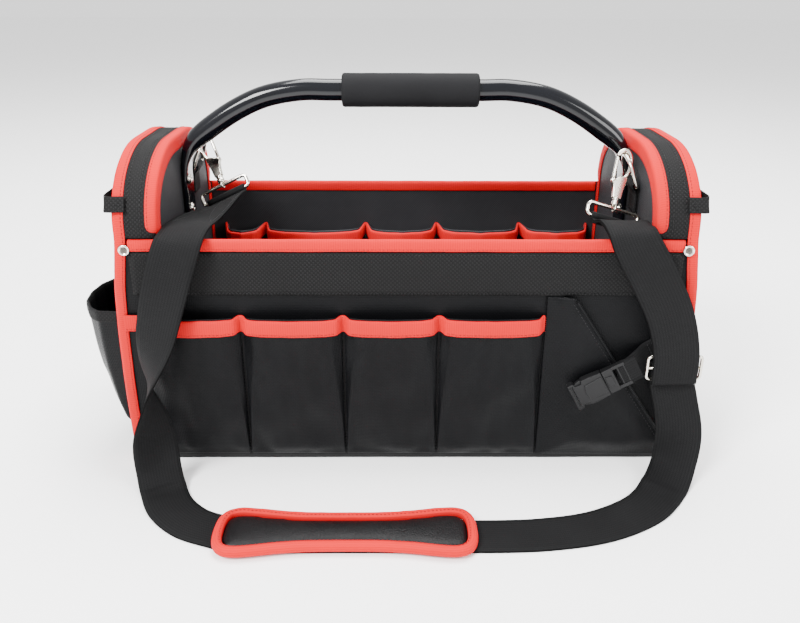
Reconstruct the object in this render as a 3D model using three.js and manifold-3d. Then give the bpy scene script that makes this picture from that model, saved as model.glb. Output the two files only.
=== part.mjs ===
// Open top tool tote: a stiff-sided fabric tote with arched padded ends, a bent tube
// handle, outer and inner pockets, and a shoulder strap clipped to two D-rings.
// Millimetres, +Z up, front faces -Y, origin on the floor at the centre of the base.
import * as THREE from 'three';
import { mergeVertices } from 'three/addons/utils/BufferGeometryUtils.js';
import Module from 'manifold-3d';

const wasm = await Module();
wasm.setup();

// Body of the bag
const BAG_WIDTH = 500;
const BAG_DEPTH = 215;
const PANEL_HEIGHT = 220;
const ARCH_STEP = 8;
const ARCH_RISE = 63;
const ARCH_FLAT = 22;
const END_WALL = 37;
const PANEL = 3;
const BASE = 4;
const CLEAR = 0.3;
const SIDE_BULGE = 9;

// Tapes and webbing
const BINDING_WIDE = 10.5;
const BINDING_THICK = 1.5;
const TOP_BINDING = 11;
const INNER_BINDING = 9;
const BAND_TALL = 40;
const BAND_THICK = 1.3;
const CLOTH = 1.5;

// Outer pockets
const POCKET_TOP = 151;
const POCKET_FOOT = 6;
const POCKET_DEPTH = 12;
const POCKET_PLEAT = 7;
const POCKET_BINDING = 16;
const POCKET_SEAMS = [-0.945, -0.588, -0.226, 0.116, 0.492];
const SLANT_DEPTH = 8;
const SLANT_TOP = 166;
const SLANT_HEAD = 148;
const SLANT_FOOT = 21;
const EDGING = 3;

// Inner pockets
const INNER_TOP = 174;
const INNER_FOOT = 12;
const INNER_DEPTH = 34;
const INNER_PLEAT = 10;
const INNER_TAPE = 13;
const INNER_SEAMS = [-0.93, -0.72, -0.2, 0.17, 0.6, 0.955];

// Side pocket on the left end
const SIDE_POCKET_TOP = 148;
const SIDE_POCKET_FOOT = 30;
const SIDE_POCKET_WIDE = 100;
const SIDE_POCKET_DEPTH = 43;
const SIDE_POCKET_SHIFT = 0.41;
const SIDE_LOOP_TALL = 14;
const SIDE_LOOP_RISE = 22;
const SIDE_LOOP_STAND = 4;

// Handle
const HANDLE_TOP = 330;
const TUBE_DIAMETER = 20;
const HANDLE_FOOT = 276;
const GRIP_DIAMETER = 30.5;
const GRIP_LENGTH = 126;
const GRIP_SHIFT = 4;
const TANG_WIDE = 28;
const TANG_THICK = 4;
const TANG_FOOT = 202;
const SCREW_DIAMETER = 10;
const RIVET_DIAMETER = 10;

// Rings, hooks, eyes
const RING_WIRE = 3.4;
const RING_WIDE = 36;
const RING_TALL = 31;
const RING_LEAN = 9;
const RING_BAR_RISE = 24;
const RING_ACROSS = 36;
const RING_TAB = 1.3;
const RING_TAB_WIDE = 24;
const RING_TAB_TALL = 26;
const HOOK_WIRE = 4;
const HOOK_WIDE = 19;
const HOOK_TALL = 31;
const HOOK_BODY = 21;
const EYE_WIRE = 3.5;
const EYE_TALL = 15;

// Shoulder strap
const STRAP_WIDTH = 40;
const STRAP_THICK = 1.6;
const PAD_LENGTH = 219;
const PAD_WIDTH = 60;
const PAD_WAIST = 46;
const PAD_THICK = 9;
const PAD_RIM = 8;
const PAD_X = -51;
const PAD_AHEAD = 114;

const SLIDER_WIDE = 48;
const SLIDER_TALL = 22;
const SLIDER_WIRE = 3;
const SLIDER_AHEAD = 0.056;

// Buckle on the slanted pocket
const BUCKLE_LONG = 54;
const BUCKLE_WIDE = 27;
const BUCKLE_THICK = 9;
const BUCKLE_TURN = 29;
const BUCKLE_X = 175;
const BUCKLE_Z = 88;
const BUCKLE_STRAP = 25;

// Places worked out from the sizes above
const halfWidth = BAG_WIDTH / 2;
const halfDepth = BAG_DEPTH / 2;
const archSpring = PANEL_HEIGHT + ARCH_STEP;
const archTop = archSpring + ARCH_RISE;
const innerFace = halfWidth - END_WALL;
const skinDepth = halfDepth - BINDING_THICK - CLEAR;
const coreDepth = skinDepth - PANEL - CLEAR;
const skinWidth = halfWidth - BINDING_THICK - CLEAR;
const panelTop = PANEL_HEIGHT - BINDING_THICK - CLEAR;
const tapeWidth = halfWidth - BINDING_WIDE - CLEAR;

const FABRIC = { color: 0x1c1c1e, roughness: 0.85, metalness: 0 };
const WEBBING = { color: 0x242424, roughness: 0.8, metalness: 0 };
const RED = { color: 0xd8252b, roughness: 0.75, metalness: 0 };
const NICKEL = { color: 0xc9c5bb, roughness: 0.25, metalness: 1 };
const TUBE_BLACK = { color: 0x101318, roughness: 0.2, metalness: 0.3 };
const FOAM = { color: 0x2a2a2b, roughness: 0.9, metalness: 0 };
const PLASTIC = { color: 0x1d1d1f, roughness: 0.5, metalness: 0 };
const PAD_BLACK = { color: 0x1f1f20, roughness: 0.9, metalness: 0 };

const tote = new THREE.Group();

function addNode(name, geometry, finish) {
  const mesh = new THREE.Mesh(geometry, new THREE.MeshStandardMaterial(finish));
  mesh.name = name;
  tote.add(mesh);
  return mesh;
}

// Closed-mesh helpers
function positionsOnly(geometry) {
  const plain = geometry.clone();
  for (const key of Object.keys(plain.attributes)) {
    if (key !== 'position') plain.deleteAttribute(key);
  }
  return mergeVertices(plain, 1e-4);
}

function toSolid(geometry) {
  const plain = positionsOnly(geometry);
  return new wasm.Manifold(new wasm.Mesh({
    numProp: 3,
    vertProperties: new Float32Array(plain.attributes.position.array),
    triVerts: new Uint32Array(plain.index.array),
  }));
}

function fromSolid(solid) {
  const mesh = solid.getMesh();
  const geometry = new THREE.BufferGeometry();
  const places = new Float32Array((mesh.vertProperties.length / mesh.numProp) * 3);
  for (let i = 0; i < places.length / 3; i += 1) {
    for (let k = 0; k < 3; k += 1) {
      places[3 * i + k] = mesh.vertProperties[mesh.numProp * i + k];
    }
  }
  geometry.setAttribute('position', new THREE.BufferAttribute(places, 3));
  geometry.setIndex(Array.from(mesh.triVerts));
  return geometry;
}

function join(...geometries) {
  return fromSolid(geometries.map(toSolid).reduce((sum, next) => sum.add(next)));
}

function cut(geometry, ...tools) {
  return fromSolid(tools.map(toSolid).reduce((rest, tool) => rest.subtract(tool), toSolid(geometry)));
}

function slab(x0, x1, y0, y1, z0, z1) {
  const box = new THREE.BoxGeometry(Math.abs(x1 - x0), Math.abs(y1 - y0), Math.abs(z1 - z0));
  return box.translate((x0 + x1) / 2, (y0 + y1) / 2, (z0 + z1) / 2);
}

// A closed body lofted through rings of equal length, with flat caps.
// The sides named in turned have their facets split along the other diagonal.
function loft(rings, turned = []) {
  const count = rings[0].length;
  const places = rings.flat().flatMap((p) => [p.x, p.y, p.z]);
  const index = [];
  for (let r = 0; r + 1 < rings.length; r += 1) {
    for (let i = 0; i < count; i += 1) {
      const j = (i + 1) % count;
      const a = r * count + i;
      const b = r * count + j;
      if (turned.includes(i)) index.push(a, b, a + count, b, b + count, a + count);
      else index.push(a, b, b + count, a, b + count, a + count);
    }
  }
  const cap = (ring, start, flip) => {
    const normal = new THREE.Vector3();
    ring.forEach((p, i) => {
      const q = ring[(i + 1) % count];
      normal.add(new THREE.Vector3().crossVectors(p, q));
    });
    normal.normalize();
    const side = Math.abs(normal.z) > 0.9 ? new THREE.Vector3(1, 0, 0) : new THREE.Vector3(0, 0, 1);
    const u = new THREE.Vector3().crossVectors(side, normal).normalize();
    const v = new THREE.Vector3().crossVectors(normal, u);
    const flat = ring.map((p) => new THREE.Vector2(p.dot(u), p.dot(v)));
    for (const [a, b, c] of THREE.ShapeUtils.triangulateShape(flat, [])) {
      index.push(...(flip ? [start + a, start + c, start + b] : [start + a, start + b, start + c]));
    }
  };
  cap(rings[0], 0, true);
  cap(rings[rings.length - 1], (rings.length - 1) * count, false);
  const geometry = new THREE.BufferGeometry();
  geometry.setAttribute('position', new THREE.BufferAttribute(new Float32Array(places), 3));
  geometry.setIndex(index);
  return volumeOf(geometry) < 0 ? turnedOut(geometry) : geometry;
}

function volumeOf(geometry) {
  const at = (i) => new THREE.Vector3().fromBufferAttribute(geometry.attributes.position, i);
  const ids = geometry.index.array;
  let sum = 0;
  for (let i = 0; i < ids.length; i += 3) {
    sum += at(ids[i]).dot(at(ids[i + 1]).cross(at(ids[i + 2]))) / 6;
  }
  return sum;
}

function turnedOut(geometry) {
  const ids = Array.from(geometry.index.array);
  for (let i = 0; i < ids.length; i += 3) [ids[i], ids[i + 1]] = [ids[i + 1], ids[i]];
  geometry.setIndex(ids);
  return geometry;
}

// A flat outline given as [x, z] or [y, z] pairs, extruded along the third axis.
function prismAlongY(outline, y0, y1) {
  return loft([y0, y1].map((y) => outline.map(([x, z]) => new THREE.Vector3(x, y, z))));
}

function prismAlongX(outline, x0, x1) {
  return loft([x0, x1].map((x) => outline.map(([y, z]) => new THREE.Vector3(x, y, z))));
}

function prismAlongZ(outline, z0, z1) {
  return loft([z0, z1].map((z) => outline.map(([x, y]) => new THREE.Vector3(x, y, z))));
}

function tube(points, diameter, sides, steps, bends = 0.5) {
  const section = new THREE.Shape();
  for (let i = 0; i < sides; i += 1) {
    const angle = (2 * Math.PI * i) / sides;
    const x = (diameter / 2) * Math.cos(angle);
    const y = (diameter / 2) * Math.sin(angle);
    if (i === 0) section.moveTo(x, y);
    else section.lineTo(x, y);
  }
  const path = new THREE.CatmullRomCurve3(points, false, 'catmullrom', bends);
  return new THREE.ExtrudeGeometry(section, { steps, extrudePath: path, bevelEnabled: false });
}

// Webbing: a flat section swept along rows of { place, across }, across being its width's direction.
// Both of its faces are split along the same diagonal, so they stay parallel where it twists.
// It never sinks below the floor, unless it is drawn in a frame of its own.
function webbing(rows, width, thickness, steps, floorless = false) {
  const places = new THREE.CatmullRomCurve3(rows.map((row) => row.place), false, 'centripetal');
  const widths = new THREE.CatmullRomCurve3(rows.map((row) => row.across), false, 'centripetal');
  const rings = [];
  for (let i = 0; i <= steps; i += 1) {
    const t = i / steps;
    const along = places.getTangent(t);
    const across = widths.getPoint(t);
    across.addScaledVector(along, -across.dot(along)).normalize();
    const out = new THREE.Vector3().crossVectors(along, across);
    const corner = (a, b) => places.getPoint(t)
      .addScaledVector(across, (a * width) / 2)
      .addScaledVector(out, (b * thickness) / 2);
    const ring = [corner(-1, -1), corner(1, -1), corner(1, 1), corner(-1, 1)];
    const sunk = Math.min(0, ...ring.map((p) => p.z));
    rings.push(ring.map((p) => p.setZ(floorless ? p.z : p.z - sunk)));
  }
  return loft(rings, [2]);
}

// How far the sides swell outwards between the base and the panel's top.
const SWELL = [
  { height: 0, out: 0.75 },
  { height: 0.16, out: 0.95 },
  { height: 0.36, out: 1 },
  { height: 0.6, out: 0.9 },
  { height: 0.8, out: 0.65 },
  { height: 1, out: 0 },
];

function swellAt(z) {
  const share = Math.min(Math.max(z / PANEL_HEIGHT, 0), 1);
  const next = SWELL.findIndex((row) => row.height >= share);
  if (next <= 0) return SWELL[0].out * SIDE_BULGE;
  const low = SWELL[next - 1];
  const high = SWELL[next];
  const mix = (share - low.height) / (high.height - low.height);
  return (low.out + (high.out - low.out) * mix) * SIDE_BULGE;
}

const swellHeights = SWELL.slice(1, -1).map((row) => row.height * PANEL_HEIGHT);

// An upright piece with one plan outline all the way, its outer side following the swell.
function column(section, z0, z1) {
  const heights = [z0, ...swellHeights.filter((z) => z > z0 + 1 && z < z1 - 1), z1];
  return loft(heights.map((z) => section.map(([x, y]) => {
    const share = Math.min(Math.max((Math.abs(x) - innerFace) / (tapeWidth - innerFace), 0), 1);
    return new THREE.Vector3(x + Math.sign(x) * share * swellAt(z), y, z);
  })));
}

function rectangle(x0, x1, y0, y1) {
  return [[x0, y0], [x1, y0], [x1, y1], [x0, y1]];
}

// Half of the arch outline, from the foot up the front and over to the middle, inset by a distance.
function archHalf(inset, foot) {
  const points = [[-(halfDepth - inset), foot]];
  const turns = 8;
  for (let i = 0; i <= turns; i += 1) {
    const angle = (Math.PI / 2) * (i / turns);
    const y = ARCH_FLAT + (halfDepth - ARCH_FLAT - inset) * Math.cos(angle);
    const z = archSpring + (archTop - archSpring - inset) * Math.sin(angle);
    points.push([-y, z]);
  }
  return points;
}

function archOutline(inset, foot) {
  const half = archHalf(inset, foot);
  return [...half, ...half.map(([y, z]) => [-y, z]).reverse()];
}

function archBand(outer, inner, foot, x0, x1) {
  return prismAlongX([...archOutline(outer, foot), ...archOutline(inner, foot).reverse()], x0, x1);
}

// Base, front and back
addNode('base_panel', slab(-skinWidth + BASE, skinWidth - BASE, -coreDepth, coreDepth, 0, BASE), FABRIC);

function makePanel(side) {
  return column(rectangle(-skinWidth, skinWidth, side * (skinDepth - PANEL), side * skinDepth), 0, panelTop);
}

function makeTopBinding(side) {
  const low = PANEL_HEIGHT - TOP_BINDING;
  const top = PANEL_HEIGHT - BINDING_THICK;
  const outer = slab(-tapeWidth, tapeWidth, side * (skinDepth + CLEAR), side * halfDepth, low, PANEL_HEIGHT);
  const over = slab(-tapeWidth, tapeWidth, side * (coreDepth + CLEAR), side * halfDepth, top, PANEL_HEIGHT);
  const inside = innerFace - BINDING_THICK - 2 * CLEAR;
  const back = slab(-inside, inside, side * (coreDepth - BINDING_THICK), side * coreDepth, low, PANEL_HEIGHT);
  const bridge = slab(-inside, inside, side * (coreDepth - 1), side * (coreDepth + 1), top, PANEL_HEIGHT);
  return join(outer, over, back, bridge);
}

for (const [name, side] of [['front', -1], ['back', 1]]) {
  addNode(`${name}_panel`, makePanel(side), FABRIC);
  addNode(`${name}_top_binding`, makeTopBinding(side), RED);
}

const bandTop = PANEL_HEIGHT - TOP_BINDING - CLEAR;
const bandFace = skinDepth + CLEAR + BAND_THICK;
addNode('front_webbing_band',
  slab(-tapeWidth, tapeWidth, -bandFace, -skinDepth - CLEAR, bandTop - BAND_TALL, bandTop), WEBBING);

// Padded end walls with their gusset webbing and the red tape on both edges
const archFoot = PANEL_HEIGHT - CLEAR;

function makeOuterBinding() {
  const back = halfWidth - BINDING_THICK;
  const near = halfWidth - BINDING_WIDE;
  const skin = halfDepth - BINDING_THICK;
  const flank = halfDepth - BINDING_WIDE;
  const angle = (side) => [[near, halfDepth], [halfWidth, halfDepth], [halfWidth, flank],
    [back, flank], [back, skin], [near, skin]].map(([x, y]) => [x, side * y]);
  const legs = [-1, 1].map((side) => column(angle(side), 0, PANEL_HEIGHT));
  const edge = archBand(0, BINDING_THICK, archFoot, near, halfWidth);
  const face = archBand(BINDING_THICK / 2, BINDING_WIDE, archFoot, back, halfWidth);
  return join(...legs, edge, face);
}

function makeEndWall() {
  const lower = column(rectangle(innerFace, skinWidth, -coreDepth, coreDepth), BASE + CLEAR, PANEL_HEIGHT);
  const upper = prismAlongX(archOutline(halfDepth - coreDepth, archFoot), innerFace, skinWidth);
  return join(lower, upper);
}

function makeInnerBinding() {
  const faceOuter = innerFace - CLEAR;
  const faceInner = faceOuter - BINDING_THICK;
  const above = PANEL_HEIGHT + CLEAR;
  const rim = halfDepth - coreDepth;
  const low = archBand(rim, rim + INNER_BINDING, BASE + CLEAR, faceInner, faceOuter);
  const high = archBand(0, rim + INNER_BINDING, above, faceInner, faceOuter);
  const edge = archBand(0, BINDING_THICK, above, faceInner, innerFace + INNER_BINDING);
  return join(low, high, edge);
}

function mirrored(geometry) {
  return turnedOut(positionsOnly(geometry).scale(-1, 1, 1));
}

function onSide(geometry, side) {
  return side < 0 ? mirrored(geometry) : geometry;
}

for (const [name, side] of [['left', -1], ['right', 1]]) {
  addNode(`${name}_end_wall`, onSide(makeEndWall(), side), FABRIC);
  const gusset = archBand(BINDING_THICK + CLEAR, BINDING_THICK + CLEAR + PANEL,
    PANEL_HEIGHT + CLEAR, innerFace, skinWidth);
  addNode(`${name}_gusset_webbing`, onSide(gusset, side), WEBBING);
  addNode(`${name}_outer_binding`, onSide(makeOuterBinding(), side), RED);
  addNode(`${name}_inner_binding`, onSide(makeInnerBinding(), side), RED);
}

// Pouches: open at the top, sewn down their sides, with a pleat that narrows towards the foot.
const POUCH_ROWS = [
  { height: 0, depth: 0.35, pleat: 0.1 },
  { height: 0.3, depth: 0.62, pleat: 0.35 },
  { height: 0.65, depth: 0.9, pleat: 0.7 },
  { height: 0.88, depth: 1, pleat: 1 },
  { height: 1, depth: 1, pleat: 1 },
];
const POUCH_FRONT = [
  { across: 0, depth: 0.86 },
  { across: 0.12, depth: 0.96 },
  { across: 0.5, depth: 1 },
  { across: 0.88, depth: 0.96 },
  { across: 1, depth: 0.86 },
];

function pouchSection(x0, x1, pleat, depth, inset, front = POUCH_FRONT) {
  const left = x0 + pleat + inset;
  const right = x1 - pleat - inset;
  const face = front.map((row) => [left + (right - left) * row.across, (depth - inset) * row.depth]);
  return [[x0 + inset, 0], ...face, [x1 - inset, 0]];
}

// Depth is measured from wallY towards the side that the pouch hangs on.
function makePouch(x0, x1, size, wallY, side, rows = POUCH_ROWS, front = POUCH_FRONT) {
  const rise = size.top - size.foot;
  const ring = (row, inset, z) => {
    const section = pouchSection(x0, x1, size.pleat * row.pleat, size.depth * row.depth, inset, front);
    return section.map(([x, d]) => new THREE.Vector3(x, wallY + side * d, z));
  };
  const outer = loft(rows.map((row) => ring(row, 0, size.foot + rise * row.height)));
  const hollow = rows.map((row) => ring(row, CLOTH, size.foot + CLOTH + rise * row.height));
  for (const section of hollow) {
    section[0].y -= side * CLOTH;
    section[section.length - 1].y -= side * CLOTH;
  }
  return cut(outer, loft(hollow));
}

// One tape over the mouths of a row of pouches, dipping in to the wall at every seam.
function makeMouthTape(seams, size, wallY, side, tall, lead = 0) {
  const near = [];
  const far = [];
  const rest = CLEAR + BAND_THICK + CLEAR;
  if (lead > 0) {
    near.push([seams[0] - lead, wallY + side * rest]);
    far.push([seams[0] - lead, wallY + side * (rest + BAND_THICK)]);
  }
  for (let i = 0; i + 1 < seams.length; i += 1) {
    const section = pouchSection(seams[i], seams[i + 1], size.pleat, size.depth, 0);
    const lift = CLEAR + 0.4;
    section.forEach(([x, d], k) => {
      const end = k === 0 || k === section.length - 1;
      const slide = k === 1 ? -lift : k === section.length - 2 ? lift : 0;
      const thick = k === 1 ? -BAND_THICK : k === section.length - 2 ? BAND_THICK : 0;
      if (end && k === 0 && i > 0) return;
      const dip = end ? BAND_THICK : 0;
      near.push([x + slide, wallY + side * (d + lift + dip)]);
      far.push([x + slide + thick, wallY + side * (d + lift + dip + BAND_THICK)]);
    });
  }
  const outline = [...near, ...far.reverse()];
  return prismAlongZ(outline, size.top - tall, size.top);
}

const outerPouch = { top: POCKET_TOP, foot: POCKET_FOOT, depth: POCKET_DEPTH, pleat: POCKET_PLEAT };
const outerSeams = POCKET_SEAMS.map((share) => share * halfWidth);
const pocketWall = -(skinDepth + CLEAR);
for (let i = 0; i + 1 < outerSeams.length; i += 1) {
  addNode(`front_pocket_${i + 1}`,
    makePouch(outerSeams[i] + CLEAR, outerSeams[i + 1] - CLEAR, outerPouch, pocketWall, -1), FABRIC);
}
const firstLead = halfWidth + outerSeams[0];
addNode('front_pocket_binding',
  makeMouthTape(outerSeams, outerPouch, pocketWall, -1, POCKET_BINDING, firstLead), RED);

const innerPouch = { top: INNER_TOP, foot: INNER_FOOT, depth: INNER_DEPTH, pleat: INNER_PLEAT };
const innerSeams = INNER_SEAMS.map((share) => share * innerFace);
const innerWall = skinDepth - PANEL - CLEAR;
for (let i = 0; i + 1 < innerSeams.length; i += 1) {
  addNode(`inner_pocket_${i + 1}`,
    makePouch(innerSeams[i] + CLEAR, innerSeams[i + 1] - CLEAR, innerPouch, innerWall, -1), FABRIC);
}
addNode('inner_pocket_binding', makeMouthTape(innerSeams, innerPouch, innerWall, -1, INNER_TAPE), RED);

// Slanted tool pocket at the right end of the front, open along its diagonal edge
const slantLeft = outerSeams[outerSeams.length - 1] + CLEAR;
const slantRight = tapeWidth + swellAt(0) - CLEAR;
const slantHead = new THREE.Vector2(SLANT_HEAD, SLANT_TOP);
const slantFoot = new THREE.Vector2(slantRight, SLANT_FOOT);
const slantAlong = slantFoot.clone().sub(slantHead).normalize();
const slantOut = new THREE.Vector2(-slantAlong.y, slantAlong.x);

function slantOutline(inset, past) {
  const head = slantHead.clone().addScaledVector(slantOut, past).add(new THREE.Vector2(0, -inset));
  const foot = slantFoot.clone().addScaledVector(slantOut, past).add(new THREE.Vector2(-inset, 0));
  return [
    [slantLeft + inset, POCKET_FOOT + inset],
    [slantLeft + inset, SLANT_TOP - inset],
    [head.x, head.y],
    [foot.x, foot.y],
    [slantRight - inset, POCKET_FOOT + inset],
  ];
}

function makeSlantPocket() {
  const slope = SLANT_DEPTH / 2;
  const ring = (inset, past, depth) => slantOutline(inset, past)
    .map(([x, z]) => new THREE.Vector3(x, pocketWall - depth, z));
  const outer = loft([ring(0, 0, 0), ring(slope, 0, SLANT_DEPTH)]);
  const hollow = loft([ring(CLOTH, SLANT_DEPTH, -1), ring(slope + CLOTH, SLANT_DEPTH, SLANT_DEPTH - CLOTH)]);
  return cut(outer, hollow);
}

addNode('slanted_pocket', makeSlantPocket(), FABRIC);

// A bar along the slanted mouth, seen as its stitched lip.
const lipFace = pocketWall - SLANT_DEPTH;
function alongSlant(share, out) {
  const place = slantHead.clone().lerp(slantFoot, share).addScaledVector(slantOut, out);
  return [place.x, place.y];
}
addNode('slanted_pocket_edging',
  prismAlongY([
    alongSlant(0.04, -EDGING), alongSlant(0.96, -EDGING), alongSlant(0.96, 0), alongSlant(0.04, 0),
  ], lipFace - CLEAR - BAND_THICK, lipFace - CLEAR), WEBBING);

// Pouch on the left end wall
const SIDE_ROWS = [
  { height: 0, depth: 0.3, pleat: 0.2 },
  { height: 0.2, depth: 0.6, pleat: 0.5 },
  { height: 0.5, depth: 0.88, pleat: 0.8 },
  { height: 0.75, depth: 0.97, pleat: 1 },
  { height: 1, depth: 1, pleat: 1 },
];
const SIDE_FRONT = [
  { across: 0, depth: 0.5 },
  { across: 0.1, depth: 0.74 },
  { across: 0.28, depth: 0.94 },
  { across: 0.5, depth: 1 },
  { across: 0.72, depth: 0.94 },
  { across: 0.9, depth: 0.74 },
  { across: 1, depth: 0.5 },
];
const sidePouch = { top: SIDE_POCKET_TOP, foot: SIDE_POCKET_FOOT, depth: SIDE_POCKET_DEPTH, pleat: CLOTH };
const sideWall = skinWidth + SIDE_BULGE + CLEAR;
const sideReach = SIDE_POCKET_WIDE / 2;
const sidePocket = makePouch(-sideReach, sideReach, sidePouch, 0, -1, SIDE_ROWS, SIDE_FRONT)
  .rotateZ(-Math.PI / 2);
addNode('side_pocket', sidePocket, FABRIC).position.set(-sideWall, -SIDE_POCKET_SHIFT * halfDepth, 0);

const sideLoopZ = archSpring + SIDE_LOOP_RISE;

// Webbing loop across the outer face of each end wall, turned in over the outer binding
function makeSideLoop() {
  const height = (sideLoopZ - archSpring) / (archTop - archSpring);
  const reach = ARCH_FLAT + (halfDepth - ARCH_FLAT) * Math.sqrt(1 - height * height);
  const off = CLEAR + BAND_THICK;
  const rows = [
    { in: END_WALL / 3, out: off, tilt: 0.5 },
    { in: BINDING_WIDE / 2, out: off * 1.4, tilt: 0.5 },
    { in: -off - SIDE_LOOP_STAND / 2, out: off, tilt: 0.45 },
    { in: -off - SIDE_LOOP_STAND, out: -reach * 0.25, tilt: 0.1 },
  ];
  const front = rows.map((row) => ({
    place: new THREE.Vector3(halfWidth - row.in, -reach - row.out, sideLoopZ),
    across: new THREE.Vector3(0, row.tilt, 1),
  }));
  const middle = {
    place: new THREE.Vector3(halfWidth + off + SIDE_LOOP_STAND, 0, sideLoopZ),
    across: new THREE.Vector3(0, 0, 1),
  };
  const back = front.map(({ place, across }) => ({
    place: place.clone().multiply(new THREE.Vector3(1, -1, 1)),
    across: across.clone().multiply(new THREE.Vector3(1, -1, 1)),
  })).reverse();
  return webbing([...front, middle, ...back], SIDE_LOOP_TALL, BAND_THICK, 24);
}
for (const [name, side] of [['left', -1], ['right', 1]]) {
  addNode(`${name}_side_loop`, onSide(makeSideLoop(), side), WEBBING);
}

// Handle: a bent tube with flattened tangs on the end walls, and a foam grip
const HANDLE_RISE = [
  { across: 0.985, rise: 0 },
  { across: 0.882, rise: 0.28 },
  { across: 0.752, rise: 0.64 },
  { across: 0.617, rise: 0.885 },
  { across: 0.456, rise: 1 },
  { across: 0.33, rise: 1 },
  { across: 0.15, rise: 1 },
];
const bindingFace = innerFace - BINDING_THICK - CLEAR;

function makeHandle() {
  const half = HANDLE_RISE.map(({ across, rise }) => new THREE.Vector3(
    -(bindingFace - TANG_THICK / 2) * (across / HANDLE_RISE[0].across),
    0,
    HANDLE_FOOT + (HANDLE_TOP - HANDLE_FOOT) * rise,
  ));
  const other = half.map((p) => new THREE.Vector3(-p.x, 0, p.z)).reverse();
  const bar = tube([...half, ...other], TUBE_DIAMETER, 12, 36);
  const reach = bindingFace - CLEAR;
  const tangTop = HANDLE_FOOT + TUBE_DIAMETER / 2;
  const tangs = [-1, 1].map((side) => slab(side * (reach - TANG_THICK), side * reach,
    -TANG_WIDE / 2, TANG_WIDE / 2, TANG_FOOT, tangTop));
  const walls = [-1, 1].map((side) => slab(side * reach, side * (reach + TUBE_DIAMETER),
    -TUBE_DIAMETER, TUBE_DIAMETER, TANG_FOOT, HANDLE_TOP));
  return cut(join(bar, ...tangs), ...walls);
}
addNode('handle_tube', makeHandle(), TUBE_BLACK);

// A turned piece from a profile of [radius, height] pairs, its axis along the third direction.
function turned(profile, sides) {
  return new THREE.LatheGeometry(profile.map(([r, h]) => new THREE.Vector2(r, h)), sides);
}

function makeGrip() {
  const inner = TUBE_DIAMETER / 2 + CLEAR;
  const outer = GRIP_DIAMETER / 2;
  const end = GRIP_LENGTH / 2;
  const round = 2;
  const profile = [[inner, -end], [outer - round, -end], [outer, -end + round],
    [outer, end - round], [outer - round, end], [inner, end], [inner, -end]];
  return turned(profile, 24).rotateZ(Math.PI / 2);
}
addNode('handle_grip', makeGrip(), FOAM).position.set(GRIP_SHIFT, 0, HANDLE_TOP);

function domedHead(diameter) {
  const r = diameter / 2;
  return turned([[0, 0], [r, 0], [r, r * 0.2], [r * 0.6, r * 0.42], [0, r * 0.5]], 10);
}

function dishedRivet(diameter) {
  const r = diameter / 2;
  return turned([[0, 0], [r, 0], [r, r * 0.18], [r * 0.86, r * 0.34], [r * 0.68, r * 0.3],
    [r * 0.6, r * 0.12], [0, r * 0.1]], 12);
}

for (const [name, side] of [['left', -1], ['right', 1]]) {
  for (const [level, share] of [['upper', 0.62], ['lower', 0.24]]) {
    const screw = domedHead(SCREW_DIAMETER).rotateZ((side * Math.PI) / 2);
    const z = TANG_FOOT + (HANDLE_FOOT - TANG_FOOT) * share;
    addNode(`${name}_${level}_screw`, screw, NICKEL).position
      .set(side * (bindingFace - TANG_THICK - 2 * CLEAR), -TANG_WIDE / 5, z);
  }
  for (const [face, way] of [['front', -1], ['back', 1]]) {
    const rivet = dishedRivet(RIVET_DIAMETER).rotateX(way < 0 ? Math.PI : 0);
    const across = side * (tapeWidth + RIVET_DIAMETER / 4);
    addNode(`${face}_${name}_rivet`, rivet, NICKEL).position
      .set(across, way * (halfDepth + CLEAR), PANEL_HEIGHT - TOP_BINDING + 2);
  }
}

// A closed wire bent along a flat outline in its own XY plane.
function wireLoop(outline, diameter, sides) {
  const count = outline.length;
  const rings = outline.map(([x, y], i) => {
    const [px, py] = outline[(i + count - 1) % count];
    const [nx, ny] = outline[(i + 1) % count];
    const before = new THREE.Vector2(x - px, y - py).normalize();
    const after = new THREE.Vector2(nx - x, ny - y).normalize();
    const bisector = new THREE.Vector2(before.y + after.y, -before.x - after.x).normalize();
    const mitre = 1 / Math.max(bisector.dot(new THREE.Vector2(after.y, -after.x)), 0.5);
    return Array.from({ length: sides }, (_, k) => {
      const angle = (2 * Math.PI * (k + 0.5)) / sides;
      const out = (diameter / 2) * Math.cos(angle) * mitre;
      return [x + bisector.x * out, y + bisector.y * out, (diameter / 2) * Math.sin(angle)];
    });
  });
  const index = [];
  for (let r = 0; r < count; r += 1) {
    for (let k = 0; k < sides; k += 1) {
      const a = r * sides + k;
      const b = r * sides + ((k + 1) % sides);
      const c = ((r + 1) % count) * sides + k;
      const d = ((r + 1) % count) * sides + ((k + 1) % sides);
      index.push(a, b, d, a, d, c);
    }
  }
  const geometry = new THREE.BufferGeometry();
  geometry.setAttribute('position', new THREE.BufferAttribute(new Float32Array(rings.flat(2)), 3));
  geometry.setIndex(index);
  return volumeOf(geometry) < 0 ? turnedOut(geometry) : geometry;
}

function roundedBox(width, height, radius, steps) {
  const corners = [[1, 1, 0], [-1, 1, 90], [-1, -1, 180], [1, -1, 270]];
  return corners.flatMap(([sx, sy, start]) => Array.from({ length: steps + 1 }, (_, i) => {
    const angle = THREE.MathUtils.degToRad(start + (90 * i) / steps);
    const x = sx * (width / 2 - radius) + radius * Math.cos(angle);
    const y = sy * (height / 2 - radius) + radius * Math.sin(angle);
    return [x, y];
  }));
}

// A webbing sleeve folded round a bar that lies along its own Z axis.
function sleeve(bar, width) {
  const inner = bar / 2 + CLEAR;
  const outer = inner + STRAP_THICK;
  const end = width / 2;
  const profile = [[inner, -end], [outer, -end], [outer, end], [inner, end], [inner, -end]];
  return turned(profile, 10).rotateX(Math.PI / 2);
}

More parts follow.
